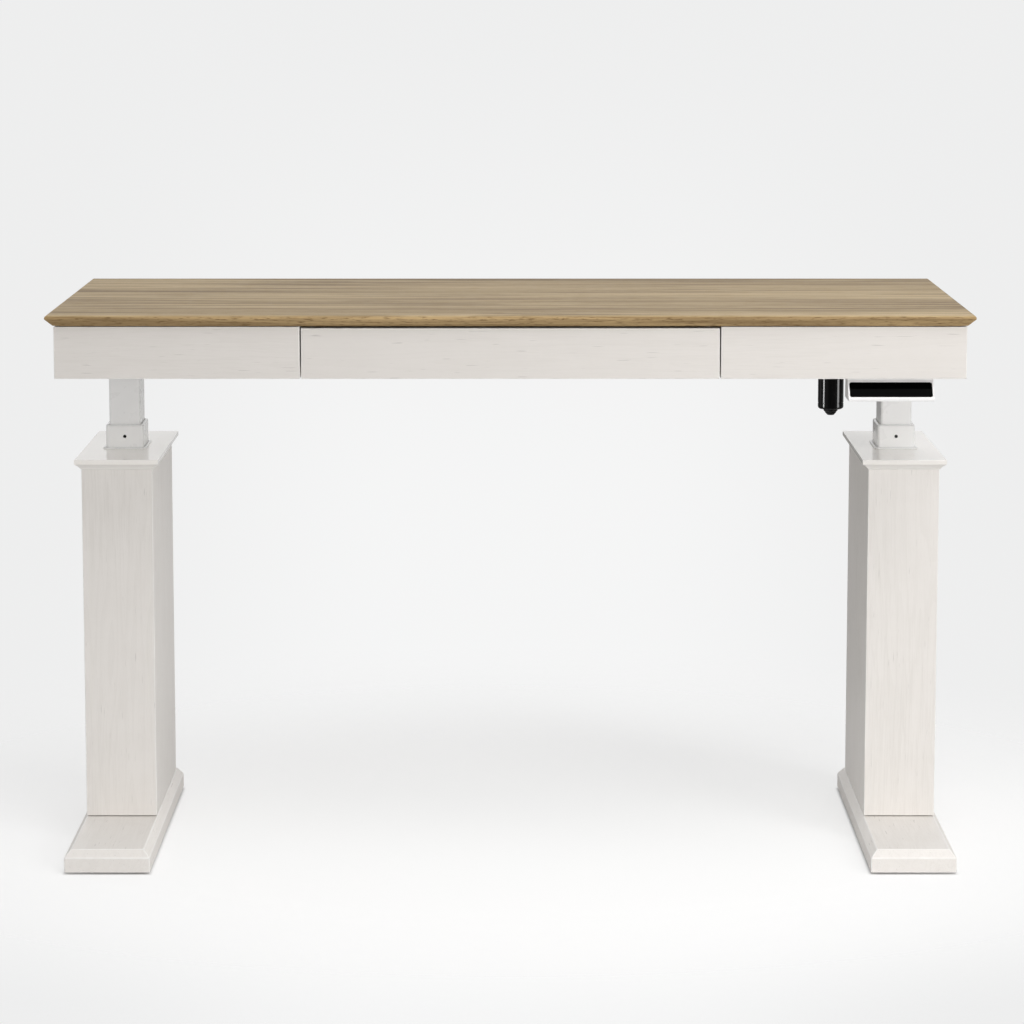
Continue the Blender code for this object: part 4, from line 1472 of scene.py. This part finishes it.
@dataclass
class LiftingColumn:
    """A two part column: tubes, sleeve, trim ring, lifting screw, plates and gearbox."""

    side: Side
    tube_corner: float = 0.0045
    tube_wall: float = 0.002
    lip_round: float = 0.0007
    hole_radius: float = 0.0028
    hole_height: float = 0.0197
    thread_pitch: float = 0.010
    plate_radius: float = 0.0006
    gearbox_radius: float = 0.0012
    gap: float = 0.0003
    glide_clearance: float = 0.0006
    ring_corner: float = 0.0065
    least_corner: float = 0.0008
    drill_sides: int = 40
    set_screw_sides: int = 30
    set_screw_gap: float = 0.0002
    plate_screw_x: float = 0.037
    plate_screw_y: tuple[float, float] = (0.020, 0.130)
    base_screw_place: tuple[float, float] = (0.033, 0.012)
    gearbox_screw_inset: tuple[float, float] = (0.009, 0.008)
    plate_screws: dict[str, float] = field(default_factory=lambda: {"Head Radius": 0.0045, "Head Height": 0.0026})
    gearbox_screws: dict[str, float] = field(default_factory=lambda: {"Head Radius": 0.0036, "Head Height": 0.0024})

    def ring_of(self, node: str, inset: float, z: float, corner: Optional[float] = None) -> Ring:
        """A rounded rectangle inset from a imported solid's outline.

        Args:
            node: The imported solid's name.
            inset: How far inside the outline the ring lies.
            z: The ring's height.
            corner: The outline's corner radius, if it isn't the tubes'.

        Returns:
            The ring of points.
        """
        middle, half_x, half_y = plan(*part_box(node))
        radius = self.tube_corner if corner is None else corner
        return rounded_rectangle(middle, half_x - inset, half_y - inset, max(radius - inset, self.least_corner), z)

    def tube_shape(self, node: str) -> bmesh.types.BMesh:
        """A rectangular tube with rounded rims.

        Args:
            node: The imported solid's name.

        Returns:
            The shape.
        """
        low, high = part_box(node)
        wall, lip = self.tube_wall, self.lip_round
        section = [
            (wall, low.z),
            (0.0, low.z),
            (0.0, high.z - lip),
            (lip * 0.3, high.z - lip * 0.3),
            (lip, high.z),
            (wall, high.z),
        ]
        return lofted([self.ring_of(node, inset, z) for inset, z in section], ends_closed=False, soft=(2, 3))

    def build(self, screws: GrownTree, spindles: GrownTree) -> None:
        """Makes every piece of the column.

        Args:
            screws: The tree that makes screw heads.
            spindles: The tree that makes lifting screws.
        """
        label = self.side.label
        inner = f"{label}_inner_tube"
        place_piece(f"{label}_rising_tube", self.tube_shape(inner), COLUMN_COAT, Body.TOP, [inner])
        self.build_outer_tube()
        self.build_sleeve()
        self.build_trim_ring()
        self.build_spindle(spindles)
        for name, finish in (("base_plate", ZINC_STEEL), ("nut_post", BARE_STEEL), ("spindle_nut", BRASS)):
            keep_solid(f"{label}_{name}", finish)
        rounded_board(f"{label}_top_plate", BLACK_COAT, Body.TOP, self.plate_radius, 2)
        rounded_board(f"{label}_gearbox", BLACK_COAT, Body.TOP, self.gearbox_radius)
        self.build_screws(screws)

    def build_outer_tube(self) -> None:
        """Makes the outer tube with its set screw hole, and the screw that sits in it."""
        node = f"{self.side.label}_outer_tube"
        low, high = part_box(node)
        cap_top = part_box(f"{self.side.label}_cap")[1].z
        middle = ((low.x + high.x) / 2, cap_top + self.hole_height)
        face = low.y
        section = [
            (self.hole_radius * wider, face + y)
            for y, wider in ((-0.006, 1.30), (-0.0001, 1.30), (0.0004, 1.0), (0.006, 1.0))
        ]
        drill_shape = lofted(facing_front(middle, section, self.drill_sides))
        holder, drill = (
            self.helper(name, shape)
            for name, shape in (("hole_holder", self.tube_shape(node)), ("hole_drill", drill_shape))
        )
        modifier = holder.modifiers.new("drilled", "BOOLEAN")
        modifier.operation = "DIFFERENCE"
        modifier.solver = "EXACT"
        modifier.object = drill
        drilled = evaluated_mesh(holder, preserve_all_data_layers=True)
        for item in (holder, drill):
            bpy.data.objects.remove(item)
        shape = bmesh.new()
        shape.from_mesh(drilled)
        for name in (EDGE_LAYER, BOARD_LAYER):
            if name not in shape.faces.layers.float:
                shape.faces.layers.float.new(name)
        place_piece(f"{self.side.label}_fixed_tube", shape, COLUMN_COAT, Body.BASE, [node])
        self.build_set_screw(middle, face)

    @staticmethod
    def helper(name: str, shape: bmesh.types.BMesh) -> bpy.types.Object:
        """A plain object of a shape, for the drilling.

        Args:
            name: The object's name.
            shape: Its shape; it is freed.

        Returns:
            The object.
        """
        made = bpy.data.objects.new(name, bpy.data.meshes.new(name))
        shape.to_mesh(made.data)
        shape.free()
        bpy.context.scene.collection.objects.link(made)
        return made

    def build_set_screw(self, middle: Point, face: float) -> None:
        """Makes the recessed set screw with a round socket sunk into it.

        Args:
            middle: The hole's x and z.
            face: Where the tube's front lies along Y.
        """
        radius = self.hole_radius - self.set_screw_gap
        section = [(r, face + depth) for r, depth in (
            (radius, 0.0021), (radius, 0.0015), (radius - 0.0003, 0.0012),
            (radius * 0.66, 0.0012), (radius * 0.60, 0.0016), (radius * 0.57, 0.0020),
        )]
        shape = lofted(facing_front(middle, section, self.set_screw_sides), soft=(1,))
        place_piece(f"{self.side.label}_set_screw", shape, BLACKED_STEEL, Body.BASE)

    def build_sleeve(self) -> None:
        """Makes the plastic sleeve between the tubes, with a rounded lip over the outer tube."""
        node = f"{self.side.label}_glide_sleeve"
        low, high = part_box(node)
        _, half_x, _ = plan(low, high)
        _, inner_x, _ = plan(*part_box(f"{self.side.label}_inner_tube"))
        bore = half_x - inner_x - self.glide_clearance
        body = self.tube_wall + self.gap
        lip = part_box(f"{self.side.label}_outer_tube")[1].z + self.gap
        rise = high.z - lip
        section = [
            (body, low.z),
            (body, lip),
            (0.0002, lip),
            (0.0, lip + 0.3 * rise),
            (0.0003, lip + 0.62 * rise),
            (0.0010, lip + 0.9 * rise),
            (0.0019, high.z),
            (bore - 0.0006, high.z),
            (bore, high.z - 0.0006),
            (bore, low.z),
        ]
        rings = [self.ring_of(node, inset, z) for inset, z in section]
        shape = lofted(rings, ends_closed=False, soft=range(2, 6))
        place_piece(f"{self.side.label}_sleeve", shape, COLUMN_PLASTIC, Body.BASE, [node], crease=40.0)

    def build_trim_ring(self) -> None:
        """Makes the thin ring that lies on the cap round the tube."""
        node = f"{self.side.label}_trim_ring"
        low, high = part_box(node)
        _, half_x, _ = plan(low, high)
        _, tube_x, _ = plan(*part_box(f"{self.side.label}_outer_tube"))
        width = half_x - tube_x - self.gap
        section = [
            (width, low.z),
            (0.0, low.z),
            (0.0, low.z + 0.0009),
            (0.0004, high.z - 0.0005),
            (0.0012, high.z),
            (width - 0.0004, high.z),
            (width, high.z - 0.0004),
        ]
        rings = [self.ring_of(node, inset, z, self.ring_corner) for inset, z in section]
        shape = lofted(rings, ends_closed=False, soft=range(2, 4))
        place_piece(f"{self.side.label}_trim", shape, COLUMN_PLASTIC, Body.BASE, [node], crease=40.0)

    def build_spindle(self, spindles: GrownTree) -> None:
        """Makes the lifting screw with its thread.

        Args:
            spindles: The tree that makes lifting screws.
        """
        node = f"{self.side.label}_spindle"
        low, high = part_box(node)
        middle, radius, _ = plan(low, high)
        length = high.z - low.z
        body = Body.LEFT_SPINDLE if self.side is Side.LEFT else Body.RIGHT_SPINDLE
        sizes = {"Radius": radius, "Length": length, "Turns": length / self.thread_pitch}
        foot = [((*middle, low.z), UP)]
        spindles.grow(f"{self.side.label}_lifting_screw", foot, sizes, BARE_STEEL, body, [node])

    def build_screws(self, screws: GrownTree) -> None:
        """Makes the screws of the top plate, the gearbox and the base plate.

        Args:
            screws: The tree that makes screw heads.
        """
        label, sign = self.side.label, self.side.value
        low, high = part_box(f"{label}_top_plate")
        x = (low.x + high.x) / 2
        edge, inner = self.plate_screw_y
        places = [
            ((x + aside, y, low.z), DOWN)
            for aside in (-self.plate_screw_x, self.plate_screw_x)
            for y in (low.y + edge, low.y + inner, high.y - edge)
        ]
        screws.grow(f"{label}_top_plate_screws", places, self.plate_screws, SCREW_ZINC, Body.TOP)
        low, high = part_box(f"{label}_gearbox")
        outer = high.x if sign > 0 else low.x
        along, upward = self.gearbox_screw_inset
        places = [
            ((outer, y, z), (float(sign), 0.0, 0.0))
            for y in (low.y + along, high.y - along)
            for z in (low.z + upward, high.z - upward)
        ]
        screws.grow(f"{label}_gearbox_screws", places, self.gearbox_screws, SCREW_ZINC, Body.TOP)
        low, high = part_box(f"{label}_base_plate")
        across, along = self.base_screw_place
        places = [
            ((x + aside, y, high.z), UP)
            for aside in (-across, across)
            for y in (low.y + along, high.y - along)
        ]
        screws.grow(f"{label}_base_plate_screws", places, self.plate_screws, SCREW_ZINC, Body.BASE)


# ---------------------------------------------------------------- drive, motor, controls


@dataclass
class DriveTrain:
    """The crossbeam and the drive rod."""

    beam_radius: float = 0.0012
    rod_radius: float = 0.0004
    screw_shares: tuple[float, ...] = (0.02, 0.06, 0.94, 0.98)

    def build(self, screws: GrownTree) -> None:
        """Makes the beam, its screws and the rod.

        Args:
            screws: The tree that makes screw heads.
        """
        rounded_board("crossbeam", BLACK_COAT, Body.TOP, self.beam_radius)
        rod = soften(merged_copy("drive_rod"), self.rod_radius, 2)
        place_piece("drive_rod_drawn", rod, BARE_STEEL, Body.DRIVE_ROD, ["drive_rod"])
        low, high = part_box("crossbeam")
        height = (low.z + high.z) / 2
        places = [((low.x + share * (high.x - low.x), low.y, height), FORWARD) for share in self.screw_shares]
        screws.grow("crossbeam_screws", places, {"Head Radius": 0.0036, "Head Height": 0.0022}, SCREW_ZINC, Body.TOP)


@dataclass
class Motor:
    """The upright motor beside the right column."""

    sides: int = 72
    groove_depth: float = 0.0007
    groove_height: float = 0.0016
    rim_round: float = 0.0009
    groove_rises: tuple[float, float] = (0.0065, 0.014)
    nub_height: float = 0.0105

    def build(self) -> None:
        """Makes the housing and the end cap."""
        self.build_housing()
        self.build_end_cap()

    def build_housing(self) -> None:
        """Makes the round housing, with a seam groove near each end."""
        low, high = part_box("motor_housing")
        middle, radius, _ = plan(low, high)
        deep = radius - self.groove_depth
        section = [
            (radius - self.rim_round, low.z), (radius - 0.0002, low.z + 0.0003), (radius, low.z + self.rim_round),
        ]
        for start in (low.z + self.groove_rises[0], high.z - self.groove_rises[1]):
            end = start + self.groove_height
            section += [(radius, start), (deep, start + 0.0003), (deep, end - 0.0003), (radius, end)]
        section += [(radius, high.z - self.rim_round), (radius - self.rim_round, high.z)]
        shape = lofted(turned(middle, section, self.sides))
        place_piece("motor_case", shape, MOTOR_PAINT, Body.TOP, ["motor_housing"])

    def build_end_cap(self) -> None:
        """Makes the end cap: a chamfered rim and a tapered nub."""
        low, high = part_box("motor_end_cap")
        middle, radius, _ = plan(low, high)
        nub_top = low.z + self.nub_height
        section = [
            (0.0040, low.z),
            (0.0052, low.z + 0.0002),
            (0.0060, low.z + 0.0010),
            (0.0088, low.z + 0.0040),
            (0.0093, low.z + 0.0046),
            (0.0096, low.z + 0.0058),
            (0.0112, low.z + 0.0070),
            (0.0116, nub_top - 0.0006),
            (0.0120, nub_top),
            (radius - 0.0032, nub_top),
            (radius - 0.0024, nub_top + 0.0002),
            (radius - 0.0002, high.z - 0.0003),
            (radius - 0.0006, high.z),
        ]
        shape = lofted(turned(middle, section, self.sides))
        place_piece("motor_cap", shape, MOTOR_PLASTIC, Body.TOP, ["motor_end_cap"], crease=30.0)


@dataclass
class Handset:
    """The control handset: a moulded case and a blank touch panel."""

    case_radius: float = 0.0008
    panel_round: float = 0.0003
    panel_corner: float = 0.0038
    corner_steps: int = 6
    flange_screws: tuple[float, float] = (-0.045, 0.045)
    flange_thickness: float = 0.0043
    screw_drop: float = 0.011

    def build(self, screws: GrownTree) -> None:
        """Makes the case, the panel and the fixing screws.

        Args:
            screws: The tree that makes screw heads.
        """
        rounded_board("handset_case", HANDSET_PLASTIC, Body.TOP, self.case_radius)
        self.build_panel()
        low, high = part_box("handset_case")
        apron_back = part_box("right_front_apron")[1].y
        x, z = (low.x + high.x) / 2, high.z - self.screw_drop
        places = [((x + aside, apron_back + self.flange_thickness, z), BACKWARD) for aside in self.flange_screws]
        screws.grow("handset_screws", places, {"Head Radius": 0.0035, "Head Height": 0.0020}, SCREW_ZINC, Body.TOP)

    def build_panel(self) -> None:
        """Makes the touch panel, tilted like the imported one, with round corners."""
        shape = merged_copy("handset_panel")
        face = max(shape.faces, key=lambda item: item.calc_area())
        front = face if face.normal.y < 0 else min(shape.faces, key=lambda item: (item.normal.y, -item.calc_area()))
        normal = front.normal.copy()
        middle = front.calc_center_median()
        across = Vector((1.0, 0.0, 0.0))
        up = normal.cross(across).normalized()
        spans = [(vert.co - middle) for vert in front.verts]
        half_x, half_y = max(span.dot(across) for span in spans), max(span.dot(up) for span in spans)
        depth = max((middle - vert.co).dot(normal) for vert in shape.verts)
        shape.free()
        rings = []
        edge, bend = self.panel_round, self.panel_round * 0.3
        for inset, sunk in ((0.0, depth), (0.0, edge), (bend, bend), (edge, 0.0)):
            sizes = (half_x - inset, half_y - inset, self.panel_corner - inset)
            flat = rounded_rectangle((0, 0), *sizes, 0.0, self.corner_steps)
            rings.append([tuple(middle + across * x + up * y - normal * sunk) for x, y, _ in flat])
        place_piece("touch_panel", lofted(rings, soft=(1, 2)), TOUCH_PANEL, Body.TOP, ["handset_panel"])


@dataclass
class ControlBox:
    """The control box, with its mains inlet."""

    case_radius: float = 0.0015
    pin_length: float = 0.010
    pin_size: tuple[float, float] = (0.0010, 0.0020)
    rib_count: int = 22
    rib_radius: float = 0.0006
    rib_margin: tuple[float, float] = (0.060, 0.015)
    inlet_depth: float = 0.0159
    pin_round: float = 0.0004
    screw_sink: float = 0.0022
    screw_inset: tuple[float, float] = (0.012, 0.010)

    def build(self, screws: GrownTree, ribs: GrownTree) -> None:
        """Makes the case, its cooling ribs, its screws and the inlet's pins.

        Args:
            screws: The tree that makes screw heads.
            ribs: The tree that makes rows of ribs.
        """
        rounded_board("control_box", BLACK_PLASTIC, Body.TOP, self.case_radius)
        low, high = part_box("control_box")
        aside, along = self.rib_margin
        start = (low.x + aside, low.y + along, low.z + self.rib_radius)
        ribs.grow("control_box_ribs", [(start, UP)], {
            "Rib Length": high.y - low.y - 2 * along,
            "Rib Radius": self.rib_radius,
            "Spacing": (high.x - low.x - 2 * aside) / (self.rib_count - 1),
            "Count": self.rib_count,
        }, BLACK_PLASTIC, Body.TOP)
        across, back = self.screw_inset
        places = [
            ((x, y, low.z + self.screw_sink), DOWN)
            for x in (low.x + across, high.x - across)
            for y in (low.y + back, high.y - back)
        ]
        screws.grow("control_box_screws", places, {"Head Radius": 0.0035, "Head Height": 0.0022}, SCREW_ZINC, Body.TOP)
        self.build_pins(low, high)

    def build_pins(self, low: Vector, high: Vector) -> None:
        """Makes the three flat pins inside the inlet.

        Args:
            low: The control box's least corner.
            high: Its greatest corner.
        """
        floor = low.x + self.inlet_depth
        y, z = (low.y + high.y) / 2, (low.z + high.z) / 2
        shape = new_shape()
        for aside, rise in ((-0.007, -0.002), (0.0, 0.002), (0.007, -0.002)):
            start = Vector((floor - self.pin_length / 2, y + aside, z + rise))
            sizes = (self.pin_length, 2 * self.pin_size[0], 2 * self.pin_size[1])
            place = Matrix.Translation(start) @ Matrix.Diagonal((*sizes, 1.0))
            bmesh.ops.create_cube(shape, size=1.0, matrix=place)
        soften(shape, self.pin_round, 2)
        place_piece("inlet_pins", shape, SCREW_ZINC, Body.TOP)


# ---------------------------------------------------------------- studio


@dataclass
class SoftBox:
    """A soft area light."""

    name: str
    place: tuple[float, float, float]
    target: tuple[float, float, float]
    size: tuple[float, float]
    power: float
    colour: Colour = (1.0, 1.0, 1.0)
    pieces: tuple[str, ...] = ()

    def build(self) -> None:
        """Hangs the light, turns it to its target and keeps it to its own pieces, if it names any."""
        light = bpy.data.lights.new(self.name, "AREA")
        light.shape = "RECTANGLE"
        light.size, light.size_y = self.size
        light.energy = self.power
        light.color = self.colour
        lamp = bpy.data.objects.new(self.name, light)
        lamp.location = self.place
        lamp.visible_camera = False
        lamp.rotation_euler = (Vector(self.target) - Vector(self.place)).to_track_quat("-Z", "Y").to_euler()
        bpy.context.scene.collection.objects.link(lamp)
        if self.pieces:
            light.use_shadow = False
            lit = bpy.data.collections.new(f"{self.name}_pieces")
            for piece in self.pieces:
                lit.objects.link(bpy.data.objects[piece])
            lamp.light_linking.receiver_collection = lit


CAP_PIECES = ("left_moulded_cap", "right_moulded_cap")
COLUMN_PIECES = ("left_rising_tube", "left_fixed_tube", "left_sleeve", "left_trim")
MOTOR_PIECES = ("motor_case", "motor_cap")


@dataclass
class Studio:
    """Floor, light and camera."""

    backdrop: Colour = (0.855, 0.857, 0.857)
    backdrop_low: Colour = (0.915, 0.917, 0.917)
    horizon_light: float = 0.66
    zenith_light: float = 0.42
    front_light: float = 0.35
    right_light: float = 0.70
    back_light: float = 1.60
    flagged_light: tuple[float, float] = (0.12, 0.65)
    floor_glow: float = 0.48
    glow_strength: float = 1.17
    floor_albedo: float = 0.76
    floor_seen: Colour = (0.90, 0.90, 0.895)
    floor_radius: float = 5.0
    fade_start: float = 0.6
    fade_end: float = 1.5
    near_fade: float = 1.35
    # How far the painted contact shadow under the feet spreads past them.
    contact_edge: float = 0.005
    camera_place: tuple[float, float, float] = (0.0025, -5.4561, 1.4066)
    camera_pitch: float = 7.5322
    camera_lens: float = 121.41
    camera_shift: float = -0.10
    lights: list[SoftBox] = field(default_factory=lambda: [
        SoftBox("key_softbox", (3.5, -3.5, 2.3), (0.1, 0.0, 0.55), (2.0, 1.8), 52.0, (1.0, 0.99, 0.98)),
        SoftBox("front_softbox", (1.0, -3.0, 0.92), (-0.2, 0.0, 0.70), (1.0, 0.5), 26.0, (1.0, 0.99, 0.98)),
        SoftBox("overhead_softbox", (0.8, -1.5, 3.4), (0.0, 0.0, 0.6), (3.0, 1.6), 42.0),
        SoftBox("cap_softbox", (-0.7, -1.2, 2.2), (-0.2, 0.09, 0.61), (1.6, 0.6), 10.0, (1.0, 0.97, 0.94), CAP_PIECES),
        SoftBox("left_column_softbox", (-0.9, -2.2, 0.9), (-0.62, 0.06, 0.68), (0.8, 0.6), 3.0, pieces=COLUMN_PIECES),
        SoftBox("motor_left_strip", (-2.4, -0.95, 0.60), (0.49, 0.0, 0.77), (0.55, 1.2), 110.0, pieces=MOTOR_PIECES),
        SoftBox("motor_right_strip", (3.3, -0.95, 0.60), (0.49, 0.0, 0.77), (1.4, 1.2), 110.0, pieces=MOTOR_PIECES),
    ])

    def build(self) -> None:
        """Sets up the whole studio."""
        bpy.context.scene.view_settings.view_transform = "Standard"
        self.build_floor()
        self.build_world()
        for light in self.lights:
            light.build()
        self.build_camera()

    def build_floor(self) -> None:
        """Lays a round pale floor that fades into the backdrop."""
        shape = bmesh.new()
        bmesh.ops.create_circle(shape, cap_ends=True, segments=96, radius=self.floor_radius)
        mesh = bpy.data.meshes.new("studio_floor")
        shape.to_mesh(mesh)
        shape.free()
        mesh.materials.append(self.floor_material())
        floor = bpy.data.objects.new("studio_floor", mesh)
        bpy.context.scene.collection.objects.link(floor)

    def floor_material(self) -> bpy.types.Material:
        """A matt pale floor that grows clear towards its rim, with a painted contact shadow under each foot.

        Returns:
            The material.
        """
        made = bpy.data.materials.new("studio_floor")
        made.use_nodes = True
        wiring = ShaderWiring(made.node_tree)
        made.node_tree.nodes.clear()
        matt = wiring.node("ShaderNodeBsdfDiffuse")
        from_camera = wiring.node("ShaderNodeLightPath").outputs["Is Camera Ray"]
        bounce = (self.floor_albedo, self.floor_albedo, self.floor_albedo)
        wiring.feed(matt.inputs["Color"], wiring.blend(from_camera, bounce, self.floor_seen))
        glow = wiring.node("ShaderNodeEmission")
        wiring.fill(glow, {"Color": (1.0, 1.0, 1.0, 1.0), "Strength": self.glow_strength})
        x, y, _ = wiring.split(wiring.object_place())
        # Painted contact shadow: the floor has no glow under the feet.
        clear = self.clear_of_feet(wiring, x, y)
        camera_share = wiring.math("MULTIPLY", from_camera, wiring.math("MULTIPLY", clear, self.floor_glow))
        depth = wiring.math("MINIMUM", y, wiring.math("MULTIPLY", y, self.near_fade))
        distance = wiring.node("ShaderNodeVectorMath", operation="LENGTH")
        wiring.feed(distance.inputs[0], wiring.vector(x, depth, 0.0))
        fade = wiring.spread(distance.outputs["Value"], self.fade_start, self.fade_end)
        shader = wiring.mix_shaders(camera_share, matt.outputs[0], glow.outputs[0])
        shader = wiring.mix_shaders(fade, shader, wiring.node("ShaderNodeBsdfTransparent").outputs[0])
        wiring.feed(wiring.node("ShaderNodeOutputMaterial").inputs[0], shader)
        return made

    def clear_of_feet(self, wiring: ShaderWiring, x: Socket, y: Socket) -> Socket:
        """Where the floor lies outside the painted contact shadow under each foot; the shadow has a soft edge.

        Args:
            wiring: The floor's material.
            x: The place on the floor along X.
            y: The place on the floor along Y.

        Returns:
            1 on the open floor and 0 under the feet.
        """
        low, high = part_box("right_foot")
        painted_shadow = 1.0
        for axis, place in ((0, wiring.math("ABSOLUTE", x)), (1, y)):
            half = (high[axis] - low[axis]) / 2
            away = wiring.math("ABSOLUTE", wiring.math("SUBTRACT", place, (high[axis] + low[axis]) / 2))
            near = wiring.spread(away, half - 0.002, half + self.contact_edge, 1.0, 0.0)
            painted_shadow = wiring.math("MULTIPLY", near, painted_shadow)
        return wiring.math("SUBTRACT", 1.0, painted_shadow)

    def build_world(self) -> None:
        """Lights the room evenly, a little brighter from above, behind a backdrop that has a painted glow low in the
        middle.
        """
        world = bpy.data.worlds.new("studio")
        bpy.context.scene.world = world
        world.use_nodes = True
        world.node_tree.nodes.clear()
        wiring = ShaderWiring(world.node_tree)
        x, y, z = wiring.split(wiring.node("ShaderNodeTexCoord").outputs["Generated"])
        glow = wiring.spread(z, 0.15, 0.90, self.horizon_light, self.zenith_light)
        rear = wiring.spread(y, 0.2, 0.8, 1.0, self.back_light)
        front = wiring.spread(y, -0.95, -0.75, self.front_light, 1.0)
        right = wiring.spread(x, 0.2, 0.8, 1.0, self.right_light)
        flagged = wiring.math("MULTIPLY", wiring.spread(z, -0.08, 0.02, 1.0, 0.0), wiring.spread(y, 0.3, 0.7))
        flag = wiring.spread(flagged, 0.0, 1.0, 1.0, wiring.spread(x, -0.09, 0.06, *self.flagged_light))
        for share in (rear, front, right, flag):
            glow = wiring.math("MULTIPLY", glow, share)
        # The backdrop seen by the camera is lighter below the horizon in the middle: a painted glow.
        fall = wiring.spread(z, -0.17, 0.0, 0.0, 1.0)
        aside = wiring.spread(wiring.math("ABSOLUTE", x), 0.03, 0.14)
        low = wiring.blend(aside, self.backdrop_low, self.backdrop)
        room, seen = (wiring.node("ShaderNodeBackground") for _ in range(2))
        wiring.fill(room, {"Color": (1.0, 1.0, 1.0, 1.0), "Strength": glow})
        wiring.fill(seen, {"Color": wiring.blend(fall, low, self.backdrop)})
        from_camera = wiring.node("ShaderNodeLightPath").outputs["Is Camera Ray"]
        both = wiring.mix_shaders(from_camera, room.outputs[0], seen.outputs[0])
        wiring.feed(wiring.node("ShaderNodeOutputWorld").inputs[0], both)

    def build_camera(self) -> None:
        """Stands the camera in front of the desk."""
        camera = bpy.data.cameras.new("studio_camera")
        camera.lens = self.camera_lens
        camera.shift_y = self.camera_shift
        item = bpy.data.objects.new("studio_camera", camera)
        item.location = self.camera_place
        item.rotation_euler = (math.radians(90.0 - self.camera_pitch), 0.0, 0.0)
        bpy.context.scene.collection.objects.link(item)
        bpy.context.scene.camera = item


# ---------------------------------------------------------------- the desk


def main() -> None:
    """Builds every sub-assembly and then the studio."""
    logging.basicConfig(level=logging.INFO, format="%(name)s: %(message)s")
    screws, spindles = screw_tree(), spindle_tree()
    balls, ribs = ball_row_tree(), rib_row_tree()
    Tabletop().build()
    ApronFrame().build()
    DrawerUnit().build(screws, balls)
    for side in Side:
        Pedestal(side).build()
        LiftingColumn(side).build(screws, spindles)
    DriveTrain().build(screws)
    Motor().build()
    Handset().build(screws)
    ControlBox().build(screws, ribs)
    Studio().build()


if __name__ == "__main__":
    main()
